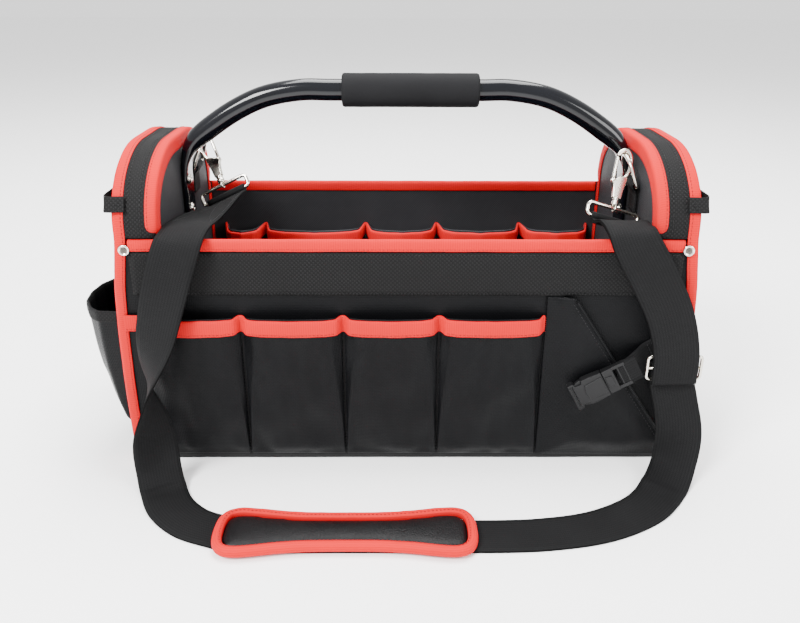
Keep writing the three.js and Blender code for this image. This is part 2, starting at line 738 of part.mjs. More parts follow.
// D-rings: the straight bar lies in a webbing tab, the bow stands up and leans inwards
const ringBarX = bindingFace - CLEAR - RING_TAB - CLEAR - RING_WIRE / 2;
const ringBarZ = archSpring + RING_BAR_RISE;
const ringReach = RING_TALL - RING_WIRE;
const ringLean = Math.asin(RING_LEAN / ringReach);

function makeRing() {
  const half = (RING_WIDE - RING_WIRE) / 2;
  const bow = Array.from({ length: 13 }, (_, i) => {
    const angle = (Math.PI * i) / 12;
    return [half * Math.cos(angle), ringReach * (0.25 + 0.75 * Math.sin(angle))];
  });
  const outline = [[-half, 0], [half, 0], ...bow];
  return wireLoop(outline, RING_WIRE, 8).rotateX(Math.PI / 2).rotateZ(Math.PI / 2).rotateY(-ringLean);
}

function makeRingTab() {
  const wall = innerFace - CLEAR;
  const front = ringBarX - RING_WIRE / 2 - CLEAR - RING_TAB;
  const outline = [
    [wall, ringBarZ - RING_TAB_TALL],
    [wall - 2 * RING_TAB, ringBarZ - RING_TAB_TALL],
    [wall - 2 * RING_TAB, ringBarZ - RING_WIRE * 1.8],
    [front, ringBarZ - RING_WIRE * 0.4],
    [front + 0.4, ringBarZ + RING_WIRE * 0.5],
    [ringBarX - 0.6, ringBarZ + RING_WIRE / 2 + CLEAR + RING_TAB],
    [ringBarX + 1, ringBarZ + RING_WIRE / 2 + CLEAR + RING_TAB],
    [wall, ringBarZ + RING_WIRE * 0.7],
  ];
  const half = RING_TAB_WIDE / 2;
  const bore = new THREE.CylinderGeometry(RING_WIRE / 2 + CLEAR, RING_WIRE / 2 + CLEAR, RING_TAB_WIDE + 2, 16)
    .translate(ringBarX, 0, ringBarZ);
  return cut(prismAlongY(outline, -half, half), bore);
}

// Snap hooks: drawn hanging from the ring's bow, with that wire's centre at their origin
const bowHalfWide = (HOOK_WIDE - HOOK_WIRE) / 2;
const bowHalfTall = (HOOK_TALL - HOOK_WIRE) / 2;
const bowTop = RING_WIRE / 2 + CLEAR + HOOK_WIRE / 2;
const bowMiddle = bowTop - bowHalfTall;
const bowFoot = bowMiddle - bowHalfTall;
const gateX = -bowHalfWide * 0.86;
const gateFoot = bowFoot + HOOK_WIRE * 0.35;
const noseAngle = 148;

function makeHookBody() {
  const bow = Array.from({ length: 10 }, (_, i) => {
    const angle = THREE.MathUtils.degToRad(-64 + ((noseAngle + 64) * i) / 9);
    return new THREE.Vector3(bowHalfWide * Math.cos(angle), 0, bowMiddle + bowHalfTall * Math.sin(angle));
  });
  const head = bowFoot + HOOK_WIRE / 2;
  const foot = head - HOOK_BODY;
  const plate = prismAlongY([
    [gateX - HOOK_WIRE / 2, bowFoot - HOOK_WIRE * 0.15],
    [gateX + HOOK_WIRE * 0.6, bowFoot - HOOK_WIRE * 0.15],
    [gateX + HOOK_WIRE, bowFoot + HOOK_WIRE / 4],
    [0, head],
    [bowHalfWide * 0.8, head + 1],
    [bowHalfWide * 0.75, head - HOOK_BODY * 0.3],
    [HOOK_WIRE, foot],
    [-HOOK_WIRE, foot],
  ], -HOOK_WIRE * 0.6, HOOK_WIRE * 0.6);
  const stub = new THREE.CylinderGeometry(HOOK_WIRE * 0.85, HOOK_WIRE * 0.85, HOOK_WIRE * 2, 12)
    .rotateX(Math.PI / 2).translate(0, 0, foot - HOOK_WIRE * 0.7);
  return join(tube(bow, HOOK_WIRE, 8, 18), plate, stub);
}

function makeGate() {
  const top = bowMiddle + bowHalfTall * Math.sin(THREE.MathUtils.degToRad(noseAngle)) - HOOK_WIRE / 4;
  const half = HOOK_WIRE * 0.4;
  const flare = HOOK_WIRE * 0.1;
  return prismAlongY([
    [gateX - half * 0.6, gateFoot - half],
    [gateX + half * 0.6, gateFoot - half],
    [gateX + half, gateFoot],
    [gateX + half, top - 1],
    [gateX + half - flare, top],
    [gateX - half + flare, top],
    [gateX - half, top - 1],
    [gateX - half, gateFoot],
  ], -HOOK_WIRE * 0.5, HOOK_WIRE * 0.5);
}

const eyeTop = bowFoot + HOOK_WIRE / 2 - HOOK_BODY - HOOK_WIRE * 1.7 - CLEAR - EYE_WIRE / 2;
const eyeWide = STRAP_WIDTH + 2.7 * EYE_WIRE;

function makeEye(turn) {
  const outline = roundedBox(eyeWide, EYE_TALL - EYE_WIRE, EYE_WIRE, 3);
  return wireLoop(outline, EYE_WIRE, 8).rotateX(Math.PI / 2).rotateZ(turn)
    .translate(0, 0, eyeTop - (EYE_TALL - EYE_WIRE) / 2);
}

const hookSides = [
  { name: 'left', side: -1, swing: 26, lean: 28, eyeTurn: 0 },
  { name: 'right', side: 1, swing: 15, lean: 28, eyeTurn: 6 },
];
const ringTop = { x: ringBarX - RING_LEAN, z: ringBarZ + ringReach * Math.cos(ringLean) };

function hookFrame({ side, swing, lean }) {
  const frame = new THREE.Group();
  frame.position.set(side * ringTop.x, -side * RING_ACROSS, ringTop.z);
  frame.rotation.set(-THREE.MathUtils.degToRad(lean), side * THREE.MathUtils.degToRad(swing), 0, 'YXZ');
  frame.updateMatrixWorld(true);
  return frame;
}

const eyes = {};
for (const hook of hookSides) {
  const { name, side } = hook;
  const across = -side * RING_ACROSS;
  addNode(`${name}_ring_tab`, onSide(makeRingTab(), side), WEBBING).position.y = across;
  const ring = onSide(makeRing().translate(ringBarX, 0, ringBarZ), side);
  addNode(`${name}_d_ring`, ring, NICKEL).position.y = across;
  const frame = hookFrame(hook);
  const hang = (part, geometry) => {
    const mesh = addNode(`${name}_${part}`, onSide(geometry, side), NICKEL);
    frame.add(mesh);
    return mesh;
  };
  hang('hook_body', makeHookBody());
  hang('hook_gate', makeGate());
  hang('strap_eye', makeEye(THREE.MathUtils.degToRad(hook.eyeTurn)));
  tote.add(frame);
  const bar = new THREE.Vector3(0, 0, eyeTop - EYE_TALL + EYE_WIRE).applyMatrix4(frame.matrixWorld);
  const turn = THREE.MathUtils.degToRad(hook.eyeTurn);
  const along = new THREE.Vector3(side * Math.cos(turn), Math.sin(turn), 0)
    .transformDirection(frame.matrixWorld);
  const down = new THREE.Vector3(0, 0, -1).transformDirection(frame.matrixWorld);
  eyes[name] = { bar, along, down };
}

// Shoulder strap. Rows give each place as shares: across of half the bag's width, up of the
// panel's height, ahead of the bag's depth in front of the front face; face is the width's direction.
const LEFT_RUN = [
  { across: -0.752, ahead: -0.24, up: 1.02, face: [1, -0.15, 0] },
  { across: -0.76, ahead: -0.03, up: 1.032, face: [1, 0, 0] },
  { across: -0.772, ahead: 0.036, up: 1.0, face: [1, 0, 0] },
  { across: -0.81, ahead: 0.06, up: 0.88, face: [1, 0, 0] },
  { across: -0.868, ahead: 0.098, up: 0.64, face: [1, -0.35, 0] },
  { across: -0.905, ahead: 0.155, up: 0.4, face: [0.15, -1, 0] },
  { across: -0.903, ahead: 0.16, up: 0.2, face: [-0.8, -0.7, 0] },
  { across: -0.893, ahead: 0.185, up: 0.055, face: [-1, -0.15, 0] },
];
const LEFT_FLOOR = [
  { across: -0.872, ahead: 0.235, face: [-1, -0.2, 0] },
  { across: -0.82, ahead: 0.35, face: [-1, -0.5, 0] },
  { across: -0.73, ahead: 0.45, face: [-0.8, -1, 0] },
  { across: -0.62, ahead: 0.505, face: [-0.4, -1, 0] },
];
const RIGHT_FLOOR = [
  { across: 0.2, ahead: 0.532, face: [0, -1, 0] },
  { across: 0.45, ahead: 0.522, face: [0.15, -1, 0] },
  { across: 0.66, ahead: 0.47, face: [0.5, -1, 0] },
  { across: 0.83, ahead: 0.36, face: [1, -0.7, 0] },
  { across: 0.925, ahead: 0.235, face: [1, -0.25, 0] },
];
const RIGHT_RISE = [
  { across: 0.985, ahead: 0.13, up: 0.06, face: [0.8, -0.6, 0] },
  { across: 1.0, ahead: 0.095, up: 0.19, face: [1, -0.3, 0] },
  { across: 0.982, ahead: 0.06, up: 0.32, face: [1, 0, 0] },
  { across: 0.965, ahead: 0.0435, up: 0.4, face: [1, 0, 0] },
  { across: 0.96, ahead: 0.0435, up: 0.455, face: [1, 0, 0] },
  { across: 0.96, ahead: 0.0435, up: 0.505, face: [1, 0, 0] },
];
const RIGHT_UPPER = [
  { across: 0.75, ahead: -0.08, up: 1.05, face: [1, 0, 0] },
  { across: 0.76, ahead: 0.016, up: 1.036, face: [1, -0.05, 0] },
  { across: 0.784, ahead: 0.051, up: 0.98, face: [1, -0.05, 0] },
  { across: 0.84, ahead: 0.064, up: 0.873, face: [1, 0, 0] },
  { across: 0.916, ahead: 0.071, up: 0.705, face: [1, 0, 0] },
  { across: 0.956, ahead: 0.0728, up: 0.536, face: [1, 0, 0] },
  { across: 0.96, ahead: 0.0728, up: 0.44, face: [1, 0, 0] },
];

const onFloor = STRAP_THICK / 2;

function strapRow({ across, ahead, up, face }) {
  const z = up === undefined ? onFloor : Math.max(up * PANEL_HEIGHT, onFloor);
  return {
    place: new THREE.Vector3(across * halfWidth, -halfDepth - ahead * BAG_DEPTH, z),
    across: new THREE.Vector3(...face),
  };
}

function leaveEye({ bar, along, down }, thick) {
  const drop = EYE_WIRE / 2 + CLEAR + thick / 2;
  const place = bar.clone().addScaledVector(down, drop);
  const across = along.clone().multiplyScalar(Math.sign(along.x));
  const ahead = new THREE.Vector3(0, 0, -1).cross(across).normalize();
  return [{ place, across }, { place: place.clone().addScaledVector(ahead, 2 * drop), across }];
}

function eyeSleeve({ bar, along }) {
  const fold = sleeve(EYE_WIRE, STRAP_WIDTH);
  const turn = new THREE.Quaternion().setFromUnitVectors(new THREE.Vector3(0, 0, 1), along);
  return fold.applyQuaternion(turn).translate(bar.x, bar.y, bar.z);
}

const padY = -halfDepth - PAD_AHEAD;

function makeLongStrap() {
  const under = [-0.8, -0.45, 0.45, 0.8].map((share) => ({
    place: new THREE.Vector3(PAD_X + (share * PAD_LENGTH) / 2, padY, onFloor),
    across: new THREE.Vector3(0, -1, 0),
  }));
  const rows = [...leaveEye(eyes.left, STRAP_THICK), ...[...LEFT_RUN, ...LEFT_FLOOR].map(strapRow),
    ...under, ...[...RIGHT_FLOOR, ...RIGHT_RISE].map(strapRow)];
  return join(webbing(rows, STRAP_WIDTH, STRAP_THICK, 72), eyeSleeve(eyes.left));
}
addNode('shoulder_strap', makeLongStrap(), WEBBING);

const doubled = 2 * STRAP_THICK + 0.2;

function makeUpperStrap() {
  const rows = [...leaveEye(eyes.right, doubled), ...RIGHT_UPPER.map(strapRow)];
  return join(webbing(rows, STRAP_WIDTH, doubled, 18), eyeSleeve(eyes.right));
}
addNode('upper_strap', makeUpperStrap(), WEBBING);

// Wire slider between the two layers of the right-hand run
function makeSlider() {
  const frame = wireLoop(roundedBox(SLIDER_WIDE, SLIDER_TALL, SLIDER_WIRE, 3), SLIDER_WIRE, 8);
  const bar = new THREE.CylinderGeometry(SLIDER_WIRE / 2, SLIDER_WIRE / 2, SLIDER_WIDE, 8)
    .rotateZ(Math.PI / 2);
  return join(frame, bar).rotateX(Math.PI / 2);
}
const sliderY = -halfDepth - SLIDER_AHEAD * BAG_DEPTH;
addNode('strap_slider', makeSlider(), NICKEL).position.set(0.96 * halfWidth, sliderY, 0.475 * PANEL_HEIGHT);

// Shoulder pad lying on the strap: a waisted cushion inside a bound rim
const PAD_SHAPE = [
  { along: 0, wide: 0 },
  { along: 0.12, wide: 0.005 },
  { along: 0.3, wide: 0.06 },
  { along: 0.5, wide: 0.35 },
  { along: 0.66, wide: 0.78 },
  { along: 0.78, wide: 1 },
  { along: 0.86, wide: 0.96 },
  { along: 0.93, wide: 0.62 },
  { along: 0.975, wide: 0 },
];

function padOutline(inset) {
  const quarter = PAD_SHAPE.map(({ along, wide }) => [
    (along * PAD_LENGTH) / 2,
    (PAD_WAIST + (PAD_WIDTH - PAD_WAIST) * wide) / 2,
  ]);
  quarter.push([PAD_LENGTH * 0.498, PAD_WAIST * 0.32], [PAD_LENGTH / 2, 0]);
  const outline = [
    ...quarter,
    ...quarter.slice(0, -1).reverse().map(([x, y]) => [x, -y]),
    ...quarter.slice(1).map(([x, y]) => [-x, -y]),
    ...quarter.slice(1, -1).reverse().map(([x, y]) => [-x, y]),
  ];
  return outline.map(([x, y], i) => {
    const [ax, ay] = outline[(i + outline.length - 1) % outline.length];
    const [bx, by] = outline[(i + 1) % outline.length];
    const normal = new THREE.Vector2(by - ay, ax - bx).normalize();
    return [PAD_X + x + normal.x * inset, padY + y + normal.y * inset];
  });
}

const padFloor = STRAP_THICK + CLEAR;

function padLayer(rows) {
  return loft(rows.map(({ inset, height }) => padOutline(inset)
    .map(([x, y]) => new THREE.Vector3(x, y, padFloor + height))));
}

function makePadRim() {
  const roll = PAD_THICK / 4;
  const outer = padLayer([
    { inset: roll, height: 0 },
    { inset: 0, height: roll },
    { inset: 0, height: PAD_THICK - roll },
    { inset: roll, height: PAD_THICK },
  ]);
  return cut(outer, padLayer([{ inset: PAD_RIM, height: -1 }, { inset: PAD_RIM, height: PAD_THICK + 1 }]));
}
addNode('pad_rim', makePadRim(), RED);

const padCore = PAD_RIM + CLEAR;
addNode('pad_cushion', padLayer([
  { inset: padCore, height: 0 },
  { inset: padCore, height: PAD_THICK * 0.8 },
  { inset: padCore + 3, height: PAD_THICK * 0.96 },
]), PAD_BLACK);

// Side-release buckle lying aslant over the slanted pocket's lip
const buckleBack = lipFace - CLEAR - BAND_THICK - CLEAR;

function bucklePlate(outline, depth = 0) {
  return prismAlongY(outline, buckleBack - BUCKLE_THICK + depth, buckleBack - depth);
}

const buckleHalf = BUCKLE_LONG / 2;
const buckleWide = BUCKLE_WIDE / 2;

function makeBuckleSocket() {
  const end = BUCKLE_LONG * 0.09;
  const edge = [
    [-buckleHalf, buckleWide], [-BUCKLE_LONG * 0.41, buckleWide], [-BUCKLE_LONG * 0.38, buckleWide * 0.72],
    [-BUCKLE_LONG * 0.28, buckleWide * 0.72], [-BUCKLE_LONG * 0.24, buckleWide], [end, buckleWide * 0.92],
  ];
  const body = bucklePlate([...edge.map(([x, z]) => [x, -z]), ...edge.reverse()]);
  const mouth = slab(end - 8, end + 1, buckleBack - BUCKLE_THICK + 2, buckleBack - 2,
    -buckleWide * 0.75, buckleWide * 0.75);
  return cut(body, mouth);
}

function makeBucklePlug() {
  const start = BUCKLE_LONG * 0.09 + CLEAR;
  const frame = bucklePlate([
    [start, -buckleWide * 0.9], [buckleHalf, -buckleWide * 0.9],
    [buckleHalf, buckleWide * 0.9], [start, buckleWide * 0.9],
  ], 1);
  const slot = (from, to) => slab(from, to, buckleBack - BUCKLE_THICK - 1, buckleBack + 1,
    -buckleWide * 0.7, buckleWide * 0.7);
  return cut(frame, slot(buckleHalf - 12, buckleHalf - 8.5), slot(buckleHalf - 6, buckleHalf - 2));
}

const buckle = new THREE.Group();
buckle.position.set(BUCKLE_X, 0, BUCKLE_Z);
buckle.rotation.y = -THREE.MathUtils.degToRad(BUCKLE_TURN);
tote.add(buckle);
buckle.add(addNode('buckle_socket', makeBuckleSocket(), PLASTIC));
buckle.add(addNode('buckle_plug', makeBucklePlug(), PLASTIC));

function makeBuckleStrap() {
  const start = buckleHalf + CLEAR;
  const near = buckleBack - BUCKLE_THICK * 0.35;
  const far = pocketWall - 2 * CLEAR - CLOTH / 2;
  const across = new THREE.Vector3(0, 0, 1);
  const rows = [[0, near], [0.06, near], [0.26, (near + far) / 2], [0.44, far], [0.85, far]];
  const strap = webbing(rows.map(([share, y]) => ({
    place: new THREE.Vector3(start + share * BUCKLE_LONG, y, 0), across,
  })),
    BUCKLE_STRAP, CLOTH, 10, true);
  const tailHalf = buckleWide * 0.8;
  const tail = slab(start, start + BUCKLE_LONG / 5, near - CLOTH * 1.6, near, -tailHalf, tailHalf);
  return join(strap, tail);
}
buckle.add(addNode('buckle_strap', makeBuckleStrap(), WEBBING));

export default tote;
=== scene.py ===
"""Looks of an open top tool tote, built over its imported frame.

Every length is in metres: +X runs along the bag, its front faces -Y, +Z is up, and the
origin lies on the floor under the middle of the base.
"""

from __future__ import annotations

import logging
import math
from dataclasses import dataclass, field
from enum import Enum
from typing import Callable, Sequence

import bpy
from mathutils import Matrix, Vector, noise


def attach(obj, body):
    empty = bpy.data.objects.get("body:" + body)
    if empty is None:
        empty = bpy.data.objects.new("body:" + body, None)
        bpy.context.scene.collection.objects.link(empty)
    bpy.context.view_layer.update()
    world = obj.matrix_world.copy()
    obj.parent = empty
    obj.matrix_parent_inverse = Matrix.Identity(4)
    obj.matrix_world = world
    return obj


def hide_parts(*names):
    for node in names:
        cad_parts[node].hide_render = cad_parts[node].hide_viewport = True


LOG = logging.getLogger("tote")
BAG = "bag"
MM = 0.001
AHEAD = Vector((0, -1, 0))

Section = Sequence[tuple[float, float]]
Rows = list[list[Vector]]
Pairs = list[tuple[float, float]]
Table = tuple[tuple[float, float], ...]
Piece = bpy.types.Object
Material = bpy.types.Material
Tree = bpy.types.NodeTree
Node = bpy.types.Node
Socket = bpy.types.NodeSocket


# Small helpers for places and curves


def mm(x: float, y: float, z: float) -> Vector:
    """A place given in millimetres.

    Args:
        x: Distance to the right.
        y: Distance to the back.
        z: Height.

    Returns:
        The same place in metres.
    """
    return Vector((x, y, z)) * MM


def mix(a: float, b: float, share: float) -> float:
    """The value that lies the given share of the way from a to b."""
    return a + (b - a) * share


def smooth(share: float) -> float:
    """An eased share: level at 0 and at 1."""
    share = min(max(share, 0.0), 1.0)
    return share * share * (3.0 - 2.0 * share)


def table(rows: Section, at: float) -> float:
    """Reads a table of (place, value) rows between its rows.

    Args:
        rows: The rows, in rising order of place.
        at: The place to read.

    Returns:
        The value there, held level past either end.
    """
    if at <= rows[0][0]:
        return rows[0][1]
    for (low, first), (high, last) in zip(rows, rows[1:]):
        if at <= high:
            return mix(first, last, (at - low) / (high - low))
    return rows[-1][1]


def ripple(place: Vector, size: float, seed: float = 0.0) -> float:
    """Soft noise from about -1 to 1, the same on every run.

    Args:
        place: Where to read it.
        size: Width of one swell, in metres.
        seed: Shift that gives another pattern.

    Returns:
        The value there.
    """
    return noise.noise(place / size + Vector((seed, 1.7 * seed, -seed)))


def centripetal(points: Sequence[Vector], share: float) -> Vector:
    """A point on a smooth curve through the given points.

    Args:
        points: The points that it passes.
        share: Share of the way, counted in points.

    Returns:
        The place on the curve.
    """
    last = len(points) - 1
    at = share * last
    first = min(int(at), last - 1)
    weight = at - first
    p1, p2 = points[first], points[first + 1]
    p0 = points[first - 1] if first > 0 else 2.0 * p1 - p2
    p3 = points[first + 2] if first + 2 <= last else 2.0 * p2 - p1
    gaps = [max((b - a).length ** 0.5, 1e-6) for a, b in ((p0, p1), (p1, p2), (p2, p3))]
    d0, d1, d2 = gaps
    t1 = ((p1 - p0) / d0 - (p2 - p0) / (d0 + d1) + (p2 - p1) / d1) * d1
    t2 = ((p2 - p1) / d1 - (p3 - p1) / (d1 + d2) + (p3 - p2) / d2) * d1
    c2 = -3.0 * p1 + 3.0 * p2 - 2.0 * t1 - t2
    c3 = 2.0 * p1 - 2.0 * p2 + t1 + t2
    return p1 + t1 * weight + c2 * weight**2 + c3 * weight**3


def curve(points: Sequence[Vector], count: int) -> list[Vector]:
    """Places along a smooth curve through the given points.

    Args:
        points: The points that it passes.
        count: How many places to give.

    Returns:
        The places, from the first point to the last.
    """
    return [centripetal(points, i / (count - 1)) for i in range(count)]


def evenly(points: Sequence[Vector], gap: float) -> list[tuple[Vector, Vector]]:
    """Steps along a line at one gap.

    Args:
        points: The line's points.
        gap: Distance between steps.

    Returns:
        Each step's place and the line's direction there.
    """
    steps: list[tuple[Vector, Vector]] = []
    ahead = gap / 2
    for a, b in zip(points, points[1:]):
        length = (b - a).length
        while length > 1e-9 and ahead <= length:
            steps.append((a.lerp(b, ahead / length), (b - a).normalized()))
            ahead += gap
        ahead -= length
    return steps


# Meshes


@dataclass
class Shell:
    """Points, faces and surface coordinates gathered for one piece."""

    points: list[Vector] = field(default_factory=list)
    faces: list[tuple[int, ...]] = field(default_factory=list)
    marks: list[Pairs] = field(default_factory=list)

    def _face(self, corners: Sequence[int], marks: Sequence[tuple[float, float]]) -> None:
        """Adds one face with the surface coordinates of its corners."""
        self.faces.append(tuple(corners))
        self.marks.append(list(marks))

    def sheet(self, rows: Rows, thickness: float, loop: bool = False) -> None:
        """Adds cloth of one thickness through a grid of points.

        Args:
            rows: Rows of the same length, along the sheet's middle surface.
            thickness: How thick the cloth is.
            loop: Whether each row closes on itself.
        """
        tall, wide = len(rows), len(rows[0])

        def at(r: int, c: int) -> Vector:
            """The grid's point, held at its edges."""
            r = min(max(r, 0), tall - 1)
            return rows[r][c % wide if loop else min(max(c, 0), wide - 1)]

        start = len(self.points)
        front: list[Vector] = []
        back: list[Vector] = []
        for r in range(tall):
            for c in range(wide):
                along = at(r, c + 1) - at(r, c - 1)
                up = at(r + 1, c) - at(r - 1, c)
                normal = along.cross(up).normalized() * (thickness / 2)
                front.append(rows[r][c] + normal)
                back.append(rows[r][c] - normal)
        self.points += front + back
        under = tall * wide
        spans = wide if loop else wide - 1
        across = [[0.0] for _ in range(tall)]
        for r in range(tall):
            for c in range(spans):
                across[r].append(across[r][-1] + (at(r, c + 1) - at(r, c)).length)
        rise = [0.0]
        for r in range(1, tall):
            middle = wide // 2
            rise.append(rise[-1] + (rows[r][middle] - rows[r - 1][middle]).length)

        def face(corners: Sequence[tuple[int, int]], layer: Sequence[int]) -> None:
            """Adds one face from grid corners, each on the front or the back."""
            ids = [start + r * wide + c % wide + under * side for (r, c), side in zip(corners, layer)]
            self._face(ids, [(across[r][c], rise[r]) for r, c in corners])

        for r in range(tall - 1):
            for c in range(spans):
                quad = [(r, c), (r, c + 1), (r + 1, c + 1), (r + 1, c)]
                face(quad, (0, 0, 0, 0))
                face(quad[::-1], (1, 1, 1, 1))
        for c in range(spans):
            face([(0, c), (0, c), (0, c + 1), (0, c + 1)], (0, 1, 1, 0))
            last = tall - 1
            face([(last, c), (last, c + 1), (last, c + 1), (last, c)], (0, 0, 1, 1))
        if not loop:
            for r in range(tall - 1):
                face([(r, 0), (r + 1, 0), (r + 1, 0), (r, 0)], (0, 0, 1, 1))
                last = wide - 1
                face([(r, last), (r, last), (r + 1, last), (r + 1, last)], (0, 1, 1, 0))

    def skin(self, rings: Rows, capped: bool = True, closed: bool = False) -> None:
        """Adds a closed body through rings of points.

        Args:
            rings: Rings of the same length, in order.
            capped: Whether the first and last ring get a face.
            closed: Whether the last ring joins the first.
        """
        start = len(self.points)
        count = len(rings[0])
        total = len(rings)
        far = [0.0]
        for a, b in zip(rings, rings[1:] + rings[:1]):
            far.append(far[-1] + (b[0] - a[0]).length)
        around = [0.0]
        for i in range(count):
            around.append(around[-1] + (rings[0][(i + 1) % count] - rings[0][i]).length)
        for ring in rings:
            self.points += ring
        for r in range(total if closed else total - 1):
            s = (r + 1) % total
            for i in range(count):
                j = (i + 1) % count
                corners = [r * count + i, r * count + j, s * count + j, s * count + i]
                (near, ahead), (a, b) = far[r:r + 2], around[i:i + 2]
                marks = [(a, near), (b, near), (b, ahead), (a, ahead)]
                self._face([start + k for k in corners], marks)
        if capped and not closed:
            for ring, order in ((0, range(count - 1, -1, -1)), (total - 1, range(count))):
                ids = [start + ring * count + i for i in order]
                base = rings[ring][0]
                flat = [self.points[k] - base for k in ids]
                self._face(ids, [(p.x + p.y, p.z) for p in flat])

    def tube(self, path: Sequence[Vector], radius: float | Sequence[float], sides: int = 16,
             closed: bool = False, flat: float = 1.0, lie: Vector | None = None) -> None:
        """Adds a round or flattened bar along a path.

        Args:
            path: The bar's middle line.
            radius: Its radius, or one for each point.
            sides: Faces round it.
            closed: Whether the path returns to its start.
            flat: Height of the section as a share of its width.
            lie: Direction that the section's width keeps to.
        """
        total = len(path)
        radii = [radius] * total if isinstance(radius, float) else list(radius)
        side = lie
        rings: Rows = []
        for i, place in enumerate(path):
            after = path[(i + 1) % total] if closed else path[min(i + 1, total - 1)]
            before = path[i - 1] if closed or i > 0 else path[0]
            along = (after - before).normalized()
            if side is None:
                side = along.orthogonal()
            side = (side - along * side.dot(along)).normalized()
            up = along.cross(side)
            rings.append([
                place + side * (radii[i] * math.cos(a)) + up * (radii[i] * flat * math.sin(a))
                for a in (math.tau * k / sides for k in range(sides))
            ])
            if lie is not None:
                side = lie
        self.skin(rings, capped=not closed, closed=closed)

    def turned(self, profile: Section, sides: int, at: Vector, axis: Vector) -> None:
        """Adds a piece turned about an axis.

        Args:
            profile: Rows of radius and height in millimetres, from the bottom's middle to the top's.
            sides: Faces round it.
            at: Where height 0 lies on the axis.
            axis: Direction in which the height grows.
        """
        turn = Vector((0, 0, 1)).rotation_difference(axis)
        angles = [math.tau * k / sides for k in range(sides)]
        self.skin([[at + turn @ mm(r * math.cos(a), r * math.sin(a), h) for a in angles] for r, h in profile])

    def prism(self, outline: Section, low: float, high: float, frame: Matrix) -> None:
        """Adds an outline drawn in the frame's first two directions, made solid along its third.

        Args:
            outline: The corners, in millimetres.
            low: Where it starts along the third direction.
            high: Where it ends.
            frame: The frame that it is drawn in.
        """
        self.skin([[frame @ mm(x, y, level) for x, y in outline] for level in (low, high)])

    def stitches(self, line: Sequence[Vector], out: Vector | Callable[[Vector], Vector], gap: float = 0.0034,
                 long: float = 0.0026, wide: float = 0.00075) -> None:
        """Adds a row of thread stitches along a line.

        Args:
            line: The seam, on the cloth's surface.
            out: The direction away from the cloth, or what gives it at a place.
            gap: Distance from stitch to stitch.
            long: Length of one stitch.
            wide: Width of the thread.
        """
        for place, along in evenly(line, gap):
            normal = (out(place) if callable(out) else out).normalized()
            side = along.cross(normal).normalized() * (wide / 2)
            start = len(self.points)
            half = along * (long / 2)
            rise = normal * (wide * 0.55)
            self.points += [place - half - rise * 0.3, place + side, place + rise, place - side,
                            place - rise, place + half - rise * 0.3]
            for a, b in ((1, 2), (2, 3), (3, 4), (4, 1)):
                for corners in ((0, a, b), (5, b, a)):
                    self._face([start + k for k in corners], [(0.0, 0.0), (wide, 0.0), (0.0, long)])

    def build(self, name: str, material: Material, levels: int = 0, bevel: float = 0.0) -> Piece:
        """Makes the Blender object.

        Args:
            name: Name of the piece.
            material: Its finish.
            levels: Rounds of subdivision.
            bevel: Width of its rounded edges, or 0 for none.

        Returns:
            The object, linked to the scene.
        """
        mesh = bpy.data.meshes.new(name)
        mesh.from_pydata([tuple(p) for p in self.points], [], self.faces)
        layer = mesh.uv_layers.new(name="surface")
        for face, marks in zip(mesh.polygons, self.marks):
            for loop, mark in zip(face.loop_indices, marks):
                layer.data[loop].uv = mark
        mesh.materials.append(material)
        for face in mesh.polygons:
            face.use_smooth = True
        mesh.update()
        piece = bpy.data.objects.new(name, mesh)
        bpy.context.scene.collection.objects.link(piece)
        if bevel > 0.0:
            rounding = piece.modifiers.new("rounding", "BEVEL")
            rounding.width = bevel
            rounding.segments = 3
            rounding.limit_method = "ANGLE"
            rounding.angle_limit = math.radians(35)
            rounding.harden_normals = True
        if levels > 0:
            finer = piece.modifiers.new("finer", "SUBSURF")
            finer.levels = levels
            finer.render_levels = levels
        return piece


def settle(piece: Piece, slot: str, *nodes: str, body: str = BAG) -> Piece:
    """Ties a finished piece to the frame.

    Args:
        piece: The piece, in place.
        slot: The record's material slot, which is not used.
        nodes: The solids that it stands for, if any.
        body: The body that it moves with.

    Returns:
        The same piece.
    """
    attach(piece, body)
    if nodes:
        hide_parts(*nodes)
    LOG.info("%s: %d faces", piece.name, len(piece.data.polygons))
    return piece


# Shader effects shared by the finishes


class Effect(Enum):
    """The shared surface effects, each one node group."""

    PLAIN_WEAVE = "plain weave"
    HERRINGBONE = "herringbone webbing"
    LIVED_IN = "lived-in variation"
    PEBBLE = "pebbled face"


